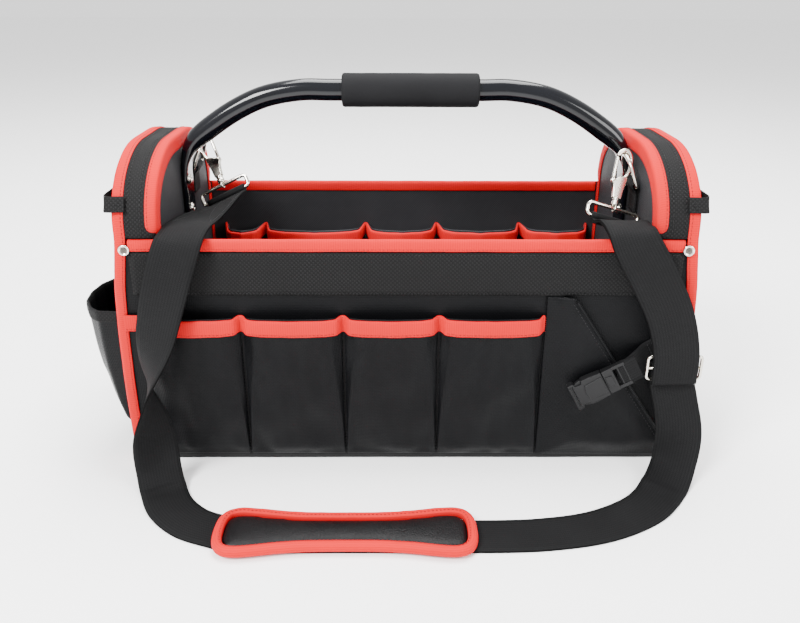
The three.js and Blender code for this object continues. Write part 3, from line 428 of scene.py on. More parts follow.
@dataclass
class Wiring:
    """Adds nodes to one tree and joins them."""

    tree: Tree

    def put(self, kind: str, **settings: object) -> Node:
        """Adds a node and sets its own properties.

        Args:
            kind: Blender's name for the node.
            settings: Properties to set on it.

        Returns:
            The node.
        """
        node = self.tree.nodes.new(kind)
        for key, value in settings.items():
            setattr(node, key, value)
        return node

    def feed(self, node: Node, socket: int | str, source: object) -> None:
        """Sets an input to a value, or links it to another node's output."""
        if isinstance(source, Socket):
            self.tree.links.new(source, node.inputs[socket])
        else:
            node.inputs[socket].default_value = source

    def math(self, operation: str, *sources: object) -> Socket:
        """Adds a math node.

        Args:
            operation: Blender's name for the sum.
            sources: Its inputs, each a number or a socket.

        Returns:
            The result's socket.
        """
        node = self.put("ShaderNodeMath", operation=operation)
        for i, source in enumerate(sources):
            self.feed(node, i, source)
        return node.outputs[0]

    def wave(self, source: object) -> Socket:
        """One arch, from 0 to 1 and back, in every whole step of the source."""
        return self.math("SINE", self.math("MULTIPLY", self.math("FRACT", source), math.pi))

    def blend(self, share: object, low: object, high: object) -> Socket:
        """Mixes two numbers by a share, each given as a number or a socket."""
        node = self.put("ShaderNodeMix", data_type="FLOAT")
        for socket, source in ((0, share), (2, low), (3, high)):
            self.feed(node, socket, source)
        return node.outputs[0]

    def tint(self, share: object, low: Sequence[float], high: Sequence[float]) -> Socket:
        """Mixes two colours by a share.

        Args:
            share: The share of the second colour.
            low: The first colour.
            high: The second colour.

        Returns:
            The colour's socket.
        """
        node = self.put("ShaderNodeMix", data_type="RGBA")
        self.feed(node, 0, share)
        node.inputs[6].default_value = (*low, 1.0)
        node.inputs[7].default_value = (*high, 1.0)
        return node.outputs[2]

    def spread(self, source: object, low: float, high: float) -> Socket:
        """Maps 0 to 1 onto the range from low to high."""
        node = self.put("ShaderNodeMapRange")
        self.feed(node, 0, source)
        node.inputs[3].default_value = low
        node.inputs[4].default_value = high
        return node.outputs[0]


@dataclass
class EffectLibrary:
    """Builds each shared effect once, as a node group."""

    made: dict[Effect, Tree] = field(default_factory=dict)

    def group(self, effect: Effect) -> Tree:
        """The node group of an effect, built when first asked for.

        Args:
            effect: Which effect.

        Returns:
            Its node group.
        """
        if effect not in self.made:
            tree = bpy.data.node_groups.new(effect.value, "ShaderNodeTree")
            builders = {
                Effect.PLAIN_WEAVE: self._weave,
                Effect.HERRINGBONE: self._herringbone,
                Effect.LIVED_IN: self._lived_in,
                Effect.PEBBLE: self._pebble,
            }
            builders[effect](tree)
            self.made[effect] = tree
        return self.made[effect]

    def place(self, wiring: Wiring, effect: Effect, vector: Socket, **values: float) -> Node:
        """Puts an effect into a material.

        Args:
            wiring: The material's own nodes.
            effect: Which effect.
            vector: Surface coordinates to feed it.
            values: The effect's named inputs.

        Returns:
            The group's node.
        """
        node = wiring.put("ShaderNodeGroup", node_tree=self.group(effect))
        wiring.feed(node, "Vector", vector)
        for name, value in values.items():
            node.inputs[name].default_value = value
        return node

    @staticmethod
    def _open(tree: Tree, values: dict[str, float],
              results: Sequence[str]) -> tuple[Wiring, Node, Node]:
        """Gives a group its sockets and its input and output nodes."""
        tree.interface.new_socket("Vector", in_out="INPUT", socket_type="NodeSocketVector")
        for name, value in values.items():
            socket = tree.interface.new_socket(name, in_out="INPUT", socket_type="NodeSocketFloat")
            socket.default_value = value
        for name in results:
            tree.interface.new_socket(name, in_out="OUTPUT", socket_type="NodeSocketFloat")
        wiring = Wiring(tree)
        return wiring, wiring.put("NodeGroupInput"), wiring.put("NodeGroupOutput")

    def _weave(self, tree: Tree) -> None:
        """Threads over and under each other, in two directions, with painted shade between them."""
        w, start, end = self._open(tree, {"Threads": 900.0, "Slub": 0.25}, ("Height", "Tone"))
        parts = w.put("ShaderNodeSeparateXYZ")
        w.feed(parts, 0, start.outputs["Vector"])
        u = w.math("MULTIPLY", parts.outputs[0], start.outputs["Threads"])
        v = w.math("MULTIPLY", parts.outputs[1], start.outputs["Threads"])
        odd = w.math("MODULO", w.math("ADD", w.math("FLOOR", u), w.math("FLOOR", v)), 2.0)
        turn = w.math("ABSOLUTE", odd)
        over = w.math("MULTIPLY", w.wave(u), w.math("POWER", w.wave(v), 0.5))
        along = w.math("MULTIPLY", w.wave(v), w.math("POWER", w.wave(u), 0.5))
        height = w.blend(turn, over, along)
        slub = w.put("ShaderNodeTexNoise")
        w.feed(slub, "Vector", start.outputs["Vector"])
        w.feed(slub, "Scale", 420.0)
        uneven = w.math("MULTIPLY", slub.outputs[0], start.outputs["Slub"])
        w.feed(end, "Height", w.math("ADD", height, uneven))
        # Tone: the checker of the floats plus painted shade, with the low parts of the threads coloured darker
        # and their crowns lighter.
        w.feed(end, "Tone", w.math("ADD", w.math("MULTIPLY", turn, 0.5), w.math("MULTIPLY", height, 0.5)))

    def _herringbone(self, tree: Tree) -> None:
        """Slanting ribs that turn back at every band of the tape, with painted shade in the grooves between
        bands.
        """
        w, start, end = self._open(tree, {"Ribs": 620.0, "Bands": 180.0, "Slant": 1.3}, ("Height", "Tone"))
        parts = w.put("ShaderNodeSeparateXYZ")
        w.feed(parts, 0, start.outputs["Vector"])
        band = w.math("MULTIPLY", parts.outputs[0], start.outputs["Bands"])
        fold = w.math("PINGPONG", band, 0.5)
        lean = w.math("MULTIPLY", fold, start.outputs["Slant"])
        rib = w.wave(w.math("ADD", w.math("MULTIPLY", parts.outputs[1], start.outputs["Ribs"]), lean))
        valley = w.math("POWER", w.wave(band), 0.3)
        height = w.math("MULTIPLY", rib, w.math("ADD", w.math("MULTIPLY", valley, 0.5), 0.5))
        w.feed(end, "Height", height)
        # Painted shade: the tape is coloured darker in the grooves where its bands turn.
        w.feed(end, "Tone", valley)

    def _lived_in(self, tree: Tree) -> None:
        """Soft blotches and fine specks, from 0 to 1."""
        w, start, end = self._open(tree, {"Size": 0.04, "Specks": 0.2}, ("Value", "Speck"))
        scale = w.math("DIVIDE", 1.0, start.outputs["Size"])
        broad = w.put("ShaderNodeTexNoise")
        broad.inputs["Detail"].default_value = 4.0
        w.feed(broad, "Vector", start.outputs["Vector"])
        w.feed(broad, "Scale", scale)
        fine = w.put("ShaderNodeTexNoise")
        w.feed(fine, "Vector", start.outputs["Vector"])
        w.feed(fine, "Scale", 1400.0)
        w.feed(end, "Value", w.spread(broad.outputs[0], -0.4, 1.4))
        w.feed(end, "Speck", w.math("MULTIPLY", w.math("POWER", fine.outputs[0], 3.0), start.outputs["Specks"]))

    def _pebble(self, tree: Tree) -> None:
        """Rounded pebbles with thin valleys between them, the valleys painted darker as shade."""
        w, start, end = self._open(tree, {"Size": 0.0022}, ("Height", "Tone"))
        scale = w.math("DIVIDE", 1.0, start.outputs["Size"])
        cells = w.put("ShaderNodeTexVoronoi", feature="F1")
        w.feed(cells, "Vector", start.outputs["Vector"])
        w.feed(cells, "Scale", scale)
        dome = w.math("SUBTRACT", 1.0, cells.outputs["Distance"])
        w.feed(end, "Height", dome)
        # Painted shade: the valleys between the pebbles are coloured darker and their tops lighter.
        w.feed(end, "Tone", w.math("POWER", dome, 2.0))


EFFECTS = EffectLibrary()


# Finishes


class Mapping(Enum):
    """Where a finish takes its surface coordinates from."""

    SURFACE = "UV"
    SPACE = "Object"


@dataclass(frozen=True)
class Finish:
    """What every finish shares: its name, colours and roughness."""

    name: str
    deep: tuple[float, float, float]
    lit: tuple[float, float, float]
    rough: tuple[float, float] = (0.6, 0.9)
    blotch: float = 0.05

    def make(self) -> Material:
        """Builds the material.

        Returns:
            The material, ready to assign.
        """
        material = bpy.data.materials.new(self.name)
        material.use_nodes = True
        material.diffuse_color = (*self.lit, 1.0)
        wiring = Wiring(material.node_tree)
        shader = material.node_tree.nodes["Principled BSDF"]
        self.dress(wiring, shader, wiring.put("ShaderNodeTexCoord"))
        return material

    def wear(self, w: Wiring, place: Node, **values: float) -> Node:
        """The soft blotches and specks of this finish."""
        return EFFECTS.place(w, Effect.LIVED_IN, place.outputs["Object"], Size=self.blotch, **values)

    def coat(self, w: Wiring, shader: Node, tone: Socket, wear: Socket,
             height: Socket, depth: float) -> None:
        """Feeds the shader what every finish has.

        Args:
            w: The material's nodes.
            shader: The shader.
            tone: Share of the lit colour: random blotches, plus painted shade from the relief where the finish
                feeds it.
            wear: Share of the way to the rougher end.
            height: The relief, from 0 to 1.
            depth: What a height of 1 stands for, in metres.
        """
        w.feed(shader, "Base Color", w.tint(tone, self.deep, self.lit))
        w.feed(shader, "Roughness", w.spread(wear, *self.rough))
        relief = w.put("ShaderNodeBump")
        relief.inputs["Strength"].default_value = 1.0
        relief.inputs["Distance"].default_value = depth
        w.feed(relief, "Height", height)
        w.feed(shader, "Normal", relief.outputs[0])


@dataclass(frozen=True)
class Woven(Finish):
    """Cloth or tape with threads that show."""

    effect: Effect = Effect.PLAIN_WEAVE
    depth: float = 0.0003
    sheen: float = 0.25
    mapping: Mapping = Mapping.SURFACE
    values: tuple[tuple[str, float], ...] = ()
    gloss: float = 0.35

    def dress(self, w: Wiring, shader: Node, place: Node) -> None:
        """Wires up threads with painted shade between them, wear and sheen."""
        surface = place.outputs[self.mapping.value]
        weave = EFFECTS.place(w, self.effect, surface, **dict(self.values))
        life = self.wear(w, place)
        # Colour share: painted shade from the weave's relief, dimmed by random blotches, plus random specks.
        tone = w.math("MULTIPLY", weave.outputs["Tone"], w.spread(life.outputs["Value"], 0.6, 1.0))
        painted_shade_and_specks = w.math("ADD", tone, life.outputs["Speck"])
        self.coat(w, shader, painted_shade_and_specks, life.outputs["Value"], weave.outputs["Height"], self.depth)
        shader.inputs["Specular IOR Level"].default_value = self.gloss
        shader.inputs["Sheen Weight"].default_value = self.sheen
        shader.inputs["Sheen Roughness"].default_value = 0.45
        shader.inputs["Sheen Tint"].default_value = (*[min(1.0, c * 2.5 + 0.15) for c in self.lit], 1.0)


@dataclass(frozen=True)
class Pebbled(Finish):
    """A grippy face of small raised pebbles."""

    size: float = 0.0013
    depth: float = 0.00022
    gloss: float = 0.16

    def dress(self, w: Wiring, shader: Node, place: Node) -> None:
        """Wires up the pebbles, with painted shade in the valleys between them."""
        pebble = EFFECTS.place(w, Effect.PEBBLE, place.outputs["Object"], Size=self.size)
        life = self.wear(w, place)
        tone, height = pebble.outputs["Tone"], pebble.outputs["Height"]
        self.coat(w, shader, tone, life.outputs["Value"], height, self.depth)
        shader.inputs["Specular IOR Level"].default_value = self.gloss


@dataclass(frozen=True)
class Moulded(Finish):
    """Plastic, foam or rubber with a fine skin."""

    grain: float = 1800.0
    depth: float = 0.00008
    gloss: float = 0.5

    def dress(self, w: Wiring, shader: Node, place: Node) -> None:
        """Wires up the moulded skin."""
        life = self.wear(w, place)
        skin = w.put("ShaderNodeTexNoise")
        w.feed(skin, "Vector", place.outputs["Object"])
        skin.inputs["Scale"].default_value = self.grain
        self.coat(w, shader, life.outputs["Value"], life.outputs["Value"], skin.outputs[0], self.depth)
        shader.inputs["Specular IOR Level"].default_value = self.gloss


@dataclass(frozen=True)
class Plated(Finish):
    """Polished or plated metal, a little worn."""

    depth: float = 0.00003

    def dress(self, w: Wiring, shader: Node, place: Node) -> None:
        """Wires up the plating and its wear."""
        life = self.wear(w, place, Specks=0.35)
        self.coat(w, shader, life.outputs["Value"], life.outputs["Speck"], life.outputs["Speck"], self.depth)
        shader.inputs["Metallic"].default_value = 1.0


@dataclass(frozen=True)
class Painted(Finish):
    """Baked gloss paint over steel."""

    orange_peel: float = 0.00002

    def dress(self, w: Wiring, shader: Node, place: Node) -> None:
        """Wires up the paint and its clear coat."""
        life = self.wear(w, place)
        peel = w.put("ShaderNodeTexNoise")
        w.feed(peel, "Vector", place.outputs["Object"])
        peel.inputs["Scale"].default_value = 500.0
        self.coat(w, shader, life.outputs["Value"], life.outputs["Value"], peel.outputs[0], self.orange_peel)
        shader.inputs["Specular IOR Level"].default_value = 0.15
        shader.inputs["Coat Weight"].default_value = 0.28
        shader.inputs["Coat Roughness"].default_value = 0.05


NYLON = Woven("pack nylon", (0.0008, 0.0008, 0.0010), (0.0032, 0.0034, 0.0041), rough=(0.30, 0.44),
              depth=0.00018, sheen=0.03, values=(("Threads", 620.0), ("Slub", 0.4)), gloss=0.085)
LINING = Woven("lining cloth", (0.009, 0.009, 0.010), (0.030, 0.030, 0.033), rough=(0.45, 0.62), sheen=0.03,
               values=(("Threads", 800.0), ("Slub", 0.3)), depth=0.00015, gloss=0.12)
STRAPPING = Woven("shoulder webbing", (0.0014, 0.0014, 0.0015), (0.0092, 0.0092, 0.0096), rough=(0.6, 0.8),
                  effect=Effect.HERRINGBONE, depth=0.00022, sheen=0.03, gloss=0.05,
                  values=(("Ribs", 560.0), ("Bands", 400.0), ("Slant", 1.4)))
BANDING = Woven("ribbed band", (0.0020, 0.0020, 0.0021), (0.0140, 0.0138, 0.0140), rough=(0.6, 0.8),
                effect=Effect.PLAIN_WEAVE, depth=0.0002, sheen=0.04, gloss=0.07,
                values=(("Threads", 540.0), ("Slub", 0.3)))
RED_TAPE = Woven("red binding tape", (0.31, 0.001, 0.002), (0.52, 0.002, 0.005), rough=(0.6, 0.8),
                 effect=Effect.HERRINGBONE, depth=0.00006, sheen=0.06, gloss=0.12,
                 values=(("Ribs", 1300.0), ("Bands", 500.0), ("Slant", 0.5)))
RED_THREAD = Woven("red thread", (0.22, 0.001, 0.002), (0.42, 0.003, 0.005), rough=(0.5, 0.7), sheen=0.05,
                   values=(("Threads", 2500.0),))
BLACK_THREAD = Woven("black thread", (0.003, 0.003, 0.003), (0.018, 0.018, 0.020), rough=(0.45, 0.65),
                     sheen=0.05, values=(("Threads", 2500.0),))
PAD_FACE = Pebbled("pebbled pad face", (0.0008, 0.0008, 0.0010), (0.0050, 0.0050, 0.0056), rough=(0.38, 0.6))
FOAM_GRIP = Moulded("foam grip", (0.005, 0.005, 0.0055), (0.010, 0.010, 0.011), rough=(0.75, 0.92), grain=900.0,
                    depth=0.0002, gloss=0.1)
NYLON_MOULDING = Moulded("moulded nylon", (0.003, 0.003, 0.0033), (0.0075, 0.0075, 0.0080), rough=(0.32, 0.5),
                          gloss=0.18)
NICKEL_PLATE = Plated("nickel plate", (0.52, 0.48, 0.41), (0.80, 0.77, 0.70), rough=(0.16, 0.34))
# The rivet's middle is coloured far darker than its plated ring.
RIVET_CORE = Plated("dark rivet core", (0.045, 0.038, 0.032), (0.13, 0.115, 0.10), rough=(0.35, 0.55))
HANDLE_PAINT = Painted("gloss black paint", (0.0010, 0.0012, 0.0020), (0.0024, 0.0028, 0.0045),
                       rough=(0.10, 0.18))


# The bag's own shape, shared by everything sewn to it


@dataclass(frozen=True)
class BagShape:
    """Sizes of the bag's body, in millimetres."""

    half_width: float = 250.0
    half_depth: float = 107.5
    panel_height: float = 220.0
    arch_top: float = 291.0
    arch_spring: float = 228.0
    arch_flat: float = 22.0
    inner_face: float = 213.0
    tape_width: float = 239.2
    skin_width: float = 248.2
    core_depth: float = 102.4
    bulge: float = 9.0
    swell: Table = (
        (0.0, 0.75), (0.16, 0.95), (0.36, 1.0), (0.6, 0.9), (0.8, 0.65), (1.0, 0.0))

    def out(self, z: float) -> float:
        """How far the sides swell outwards at a height."""
        return table(self.swell, z / self.panel_height) * self.bulge

    def widen(self, x: float, z: float) -> float:
        """Where a point of the straight-sided plan lies once the side has swelled.

        Args:
            x: Distance to the right on the plan.
            z: Height.

        Returns:
            The distance to the right on the swelled side.
        """
        share = (abs(x) - self.inner_face) / (self.tape_width - self.inner_face)
        return x + math.copysign(min(max(share, 0.0), 1.0) * self.out(z), x)

    def arch(self, inset: float, foot: float, step: float = 9.0) -> Pairs:
        """The end wall's outline, from the front foot over the top to the back foot.

        Args:
            inset: How far inside the outline to stay.
            foot: Height of the two feet.
            step: Distance between points on the straight legs.

        Returns:
            Pairs of depth and height.
        """
        legs = max(2, round((self.arch_spring - foot) / step))
        half = [(-(self.half_depth - inset), mix(foot, self.arch_spring, i / legs)) for i in range(legs)]
        for i in range(19):
            angle = math.pi / 2 * i / 18
            reach = self.arch_flat + (self.half_depth - self.arch_flat - inset) * math.cos(angle)
            rise = (self.arch_top - self.arch_spring - inset) * math.sin(angle)
            half.append((-reach, self.arch_spring + rise))
        half.append((-self.arch_flat / 3, half[-1][1]))
        return half + [(-y, z) for y, z in reversed(half)]

    def arch_reach(self, inset: float, z: float) -> float:
        """Half the end wall's depth at a height."""
        if z <= self.arch_spring:
            return self.half_depth - inset
        share = min((z - self.arch_spring) / (self.arch_top - self.arch_spring - inset), 1.0)
        return self.arch_flat + (self.half_depth - self.arch_flat - inset) * math.sqrt(1.0 - share * share)

    def arch_away(self, place: Vector) -> Vector:
        """The direction straight off the arch's edge at a place on it."""
        y, z = place.y / MM, place.z / MM
        if z <= self.arch_spring:
            return Vector((0.0, math.copysign(1.0, y), 0.0))
        wide = self.half_depth - self.arch_flat
        tall = self.arch_top - self.arch_spring
        over = max(abs(y) - self.arch_flat, 0.0) / wide**2
        return Vector((0.0, math.copysign(over, y), (z - self.arch_spring) / tall**2)).normalized()


SHAPE = BagShape()


class Side(Enum):
    """The two ends of the bag."""

    LEFT = -1
    RIGHT = 1

    @property
    def word(self) -> str:
        """The side's name in a piece's name."""
        return self.name.lower()


def mirror(rows: Rows, side: Side) -> Rows:
    """Rows drawn for the right end, moved to the given end with their faces outwards."""
    if side is Side.RIGHT:
        return rows
    return [[Vector((-p.x, p.y, p.z)) for p in reversed(row)] for row in rows]


@dataclass
class Body:
    """Base, front, back, their top bindings, the ribbed band and the rivets."""

    cloth: float = 2.4
    tape: float = 1.3
    pucker: float = 0.28

    def panels(self) -> None:
        """Makes the front and back cloth, with a soft lower edge."""
        for word, way in (("front", -1), ("back", 1)):
            rows: Rows = []
            for r in range(34):
                share = r / 33
                row = []
                for c in range(97):
                    across = mix(-1.0, 1.0, c / 96)
                    wave = 0.5 + 0.5 * ripple(mm(across * 250, 0, 0), 0.045, 3.0 + way)
                    z = mix(0.3 + 1.1 * wave, 218.0, share)
                    x = across * (SHAPE.skin_width + SHAPE.out(z) - 0.4)
                    pull = self.pucker * ripple(mm(x, 0, z), 0.05, 11.0)
                    curl = 1.3 * smooth(1.0 - z / 7.0)
                    row.append(mm(x, way * (104.2 - curl) + pull, z))
                rows.append(row if way < 0 else row[::-1])
            shell = Shell()
            shell.sheet(rows, self.cloth * MM)
            settle(shell.build(f"{word}_panel_cloth", MATERIALS.nylon), "black_fabric", f"{word}_panel")
        inside = Vector((0, (self.cloth / 2 + 0.2) * MM, 0))
        lining = Shell()
        lining.sheet([[place - inside for place in row[7:-7]] for row in rows], 0.2 * MM)
        settle(lining.build("back_lining", MATERIALS.lining), "black_fabric")

    def base(self) -> None:
        """Makes the bottom, a stiff board wrapped in cloth."""
        rows: Rows = []
        for r in range(25):
            row = []
            for c in range(61):
                x = mix(-243.8, 243.8, c / 60)
                y = mix(-102.0, 102.0, r / 24)
                sag = 0.35 * ripple(mm(x, y, 0), 0.06, 5.0)
                row.append(mm(x, y, 2.1 + sag))
            rows.append(row)
        shell = Shell()
        shell.sheet(rows, 3.0 * MM)
        settle(shell.build("base_cloth", MATERIALS.lining), "black_fabric", "base_panel")

    def top_bindings(self) -> None:
        """Makes the red tape folded over the front's and the back's upper edge."""
        outer = ((106.85, 209.3), (107.0, 211.0), (107.0, 214.0), (106.9, 216.6), (106.2, 218.5),
                 (104.9, 219.35), (103.3, 219.3))
        inner = ((104.0, 219.3), (102.6, 218.7), (101.85, 217.0), (101.65, 214.0), (101.65, 211.0),
                 (101.8, 209.3))
        for word, way in (("front", -1), ("back", 1)):
            shell = Shell()
            for section, reach in ((outer, 238.9), (inner, 210.2)):
                rows: Rows = []
                for y, z in section:
                    row = []
                    for c in range(121):
                        x = mix(-reach, reach, c / 120)
                        wave = 0.22 * ripple(mm(x, 0, z), 0.02, 21.0 + way)
                        row.append(mm(x, way * y, z + wave))
                    rows.append(row if way < 0 else row[::-1])
                shell.sheet(rows, self.tape * MM)
            piece = shell.build(f"{word}_top_tape", MATERIALS.red_tape, levels=1)
            settle(piece, "red_binding", f"{word}_top_binding")
            seam = Shell()
            line = [mm(x, way * 107.75, 211.3) for x in range(-236, 237, 4)]
            seam.stitches(line, Vector((0, way, 0)))
            settle(seam.build(f"{word}_top_tape_stitching", MATERIALS.red_thread), "red_binding")

    def band(self) -> None:
        """Makes the ribbed band under the front's top binding."""
        rows: Rows = []
        for r in range(9):
            z = mix(169.0, 208.4, r / 8)
            row = []
            for c in range(97):
                x = mix(-238.9, 238.9, c / 96)
                lift = 0.12 * ripple(mm(x, 0, z), 0.03, 31.0)
                row.append(mm(x, -106.75 - lift, z))
            rows.append(row)
        shell = Shell()
        shell.sheet(rows, 1.1 * MM)
        settle(shell.build("front_ribbed_band", MATERIALS.banding), "black_webbing", "front_webbing_band")
        seam = Shell()
        for z in (171.0, 206.6):
            seam.stitches([mm(x, -107.45, z) for x in range(-237, 238, 4)], AHEAD, gap=0.003)
        settle(seam.build("front_ribbed_band_stitching", MATERIALS.black_thread), "black_webbing")

    def rivets(self) -> None:
        """Makes the four dished rivets, each a plated ring round a darker core."""
        ring = ((0.0, 0.0), (5.0, 0.0), (5.0, 0.5), (4.7, 1.15), (4.1, 1.45), (3.5, 1.3), (3.2, 0.8),
                (0.0, 0.7))
        core = ((0.0, 0.55), (3.1, 0.6), (2.9, 0.85), (1.6, 1.02), (0.0, 1.08))
        for word, way in (("front", -1), ("back", 1)):
            for side in Side:
                at = mm(side.value * 241.7, way * 107.9, 211)
                away = Vector((0, way, 0))
                rim = Shell()
                rim.turned(ring, 32, at, away)
                node = f"{word}_{side.word}_rivet"
                settle(rim.build(f"{node}_rim", MATERIALS.nickel), "nickel", node)
                middle = Shell()
                middle.turned(core, 24, at, away)
                settle(middle.build(f"{node}_core", MATERIALS.rivet_core), "nickel")

    def make(self) -> None:
        """Builds the whole body."""
        self.panels()
        self.base()
        self.top_bindings()
        self.band()
        self.rivets()


@dataclass
class Ends:
    """The two padded, arched end walls with their tapes, loops and gusset webbing."""

    cloth: float = 2.0
    tape: float = 1.35

    def _wall(self, x: float, crown: float, inward: bool, inset: float, seed: float) -> Rows:
        """One face of the padded wall.

        Args:
            x: The face's place on the straight plan.
            crown: How far its middle swells, in millimetres.
            inward: Whether it faces into the bag.
            inset: How far its edge stays inside the outline.
            seed: Shift of its wrinkles.

        Returns:
            The face's rows, from the floor up.
        """
        rows: Rows = []
        top = SHAPE.arch_top - inset - 0.6
        for r in range(49):
            z = mix(4.8, top, r / 48)
            reach = SHAPE.arch_reach(inset, z)
            row = []
            for c in range(49):
                across = mix(-1.0, 1.0, c / 48)
                y = across * reach
                round_off = smooth(min((1.0 - abs(across)) * 5.0, 1.0)) * smooth(min((top - z) / 22.0, 1.0))
                swell = crown * round_off + 0.5 * ripple(mm(0, y, z), 0.055, seed) * round_off
                here = SHAPE.widen(x, z) + (-swell if inward else swell)
                row.append(mm(here, y, z))
            rows.append(row[::-1] if inward else row)
        return rows

    def walls(self, side: Side) -> None:
        """Makes the lining inside, the cloth outside and the padding's edge between them."""
        lining = Shell()
        lining.sheet(mirror(self._wall(214.0, 0.8, True, 5.4, 41.0), side), self.cloth * MM)
        settle(lining.build(f"{side.word}_end_lining", MATERIALS.lining), "black_fabric")
        outer = Shell()
        outer.sheet(mirror(self._wall(247.0, 0.9, False, 5.4, 47.0), side), self.cloth * MM)
        path = SHAPE.arch(6.6, 5.2)
        rows = []
        for x in (213.8, 216.0, 222.0, 230.0, 239.0, 245.0, 247.2):
            rows.append([mm(SHAPE.widen(x, z), y, z) for y, z in path])
        outer.sheet(mirror(rows, side), self.cloth * MM)
        settle(outer.build(f"{side.word}_end_cloth", MATERIALS.nylon), "black_fabric", f"{side.word}_end_wall")

    def gusset(self, side: Side) -> None:
        """Makes the ribbed webbing over the arch, crowned between its two tapes."""
        rows: Rows = []
        for i in range(11):
            share = i / 10
            inset = 3.2 - 1.5 * math.sin(math.pi * share)
            rows.append([mm(mix(214.0, 247.4, share), y, z) for y, z in SHAPE.arch(inset, 221.0)])
        shell = Shell()
        shell.sheet([list(row) for row in zip(*mirror(rows, side))], 1.6 * MM)
        piece = shell.build(f"{side.word}_gusset_band", MATERIALS.banding)
        settle(piece, "black_webbing", f"{side.word}_gusset_webbing")
        seam = Shell()
        for x in (225.5, 236.0):
            line = [mm(side.value * x, y, z) for y, z in SHAPE.arch(0.75, 222.0)]
            seam.stitches(line, SHAPE.arch_away, gap=0.0042, long=0.003, wide=0.0007)
        settle(seam.build(f"{side.word}_gusset_stitching", MATERIALS.black_thread), "black_webbing")

    def outer_tape(self, side: Side) -> None:
        """Makes the red tape over the bag's outer edge, from the floor over the arch to the floor."""
        section = ((239.8, 1.5), (240.2, 0.95), (242.0, 0.75), (245.0, 0.7), (247.4, 0.85), (248.7, 1.6),
                   (249.25, 3.0), (249.4, 6.0), (249.3, 9.0), (248.9, 10.3))
        rows: Rows = []
        for x, inset in section:
            row = []
            for y, z in SHAPE.arch(inset, 0.8):
                gather = 0.25 * ripple(mm(40 * side.value, y, z), 0.014, 51.0)
                row.append(mm(SHAPE.widen(x, z) + gather, y, z))
            rows.append(row)
        shell = Shell()
        shell.sheet(mirror(rows, side), self.tape * MM)
        piece = shell.build(f"{side.word}_outer_tape", MATERIALS.red_tape, levels=1)
        settle(piece, "red_binding", f"{side.word}_outer_binding")
        seam = Shell()
        edge = [mm(side.value * SHAPE.widen(241.6, z), y, z) for y, z in SHAPE.arch(0.0, 3.0)]
        seam.stitches(edge, SHAPE.arch_away)
        face = [mm(side.value * (SHAPE.widen(250.0, z) + 0.1), y, z) for y, z in SHAPE.arch(8.2, 3.0)]
        seam.stitches(face, Vector((side.value, 0, 0)))
        settle(seam.build(f"{side.word}_outer_tape_stitching", MATERIALS.red_thread), "red_binding")

    def inner_tape(self, side: Side) -> None:
        """Makes the red tape round the inner edge, flat in the corners and folded over on the arch."""
        section = ((221.6, 1.4), (220.5, 0.85), (217.5, 0.7), (214.6, 0.7), (212.9, 1.1), (212.1, 2.2),
                   (211.95, 4.5), (211.9, 7.5), (211.95, 11.0), (212.1, 13.9))
        rows: Rows = []
        for k, (x, inset) in enumerate(section):
            tucked = 5.4 + k * 0.95
            row = []
            for y, z in SHAPE.arch(inset, 4.8, step=5.0):
                share = smooth((z - 221.0) / 5.0)
                low = math.copysign(SHAPE.half_depth - tucked, y)
                row.append(mm(mix(211.95, x, share), mix(low, y, share), z))
            rows.append(row)
        shell = Shell()
        shell.sheet(mirror([row[::-1] for row in rows], side), self.tape * MM)
        piece = shell.build(f"{side.word}_inner_tape", MATERIALS.red_tape, levels=1)
        settle(piece, "red_binding", f"{side.word}_inner_binding")
        seam = Shell()
        line = [mm(side.value * 211.2, y, z) for y, z in SHAPE.arch(11.6, 6.0)]
        seam.stitches(line, Vector((-side.value, 0, 0)))
        over = [mm(side.value * 219.6, y, z) for y, z in SHAPE.arch(0.0, 228.0)]
        seam.stitches(over, SHAPE.arch_away)
        settle(seam.build(f"{side.word}_inner_tape_stitching", MATERIALS.red_thread), "red_binding")

    def loop(self, side: Side) -> None:
        """Makes the narrow webbing loop that stands off the end wall's outer face."""
        level = 250.0
        height = (level - SHAPE.arch_spring) / (SHAPE.arch_top - SHAPE.arch_spring)
        reach = SHAPE.arch_flat + (SHAPE.half_depth - SHAPE.arch_flat) * math.sqrt(1 - height * height)
        off = 1.6
        rows = ((12.3, off, 0.5), (5.25, off * 1.4, 0.5), (-off - 2.0, off, 0.45),
                (-off - 4.0, -reach * 0.25, 0.1))
        edge = SHAPE.half_width
        front = [(Vector((edge - a, -reach - b, level)), Vector((0, tilt, 1))) for a, b, tilt in rows]
        middle = [(Vector((edge + off + 4.0, 0, level)), Vector((0, 0, 1)))]
        back = [(Vector((p.x, -p.y, p.z)), Vector((d.x, -d.y, d.z))) for p, d in reversed(front)]
        spine = front + middle + back
        run = Ribbon([(Vector((side.value * p.x, p.y, p.z)) * MM, d) for p, d in spine], 0.014, 0.0013, 72)
        shell = Shell()
        run.add(shell)
        settle(shell.build(f"{side.word}_loop_webbing", MATERIALS.banding, levels=1), "black_webbing",
               f"{side.word}_side_loop")
        tack = Shell()
        for way in (-1, 1):
            for i in range(5):
                z = 245.5 + i * 2.2
                y = way * (reach + 3.2 - 0.62 * (z - level))
                line = [mm(side.value * x, y, z) for x in (240.2, 246.5)]
                tack.stitches(line, Vector((0, way, 0.4)), gap=0.0021, long=0.0021, wide=0.0006)
        settle(tack.build(f"{side.word}_loop_tack", MATERIALS.black_thread), "black_webbing")

    def make(self) -> None:
        """Builds both ends."""
        for side in Side:
            self.walls(side)
            self.gusset(side)
            self.outer_tape(side)
            self.inner_tape(side)
            self.loop(side)


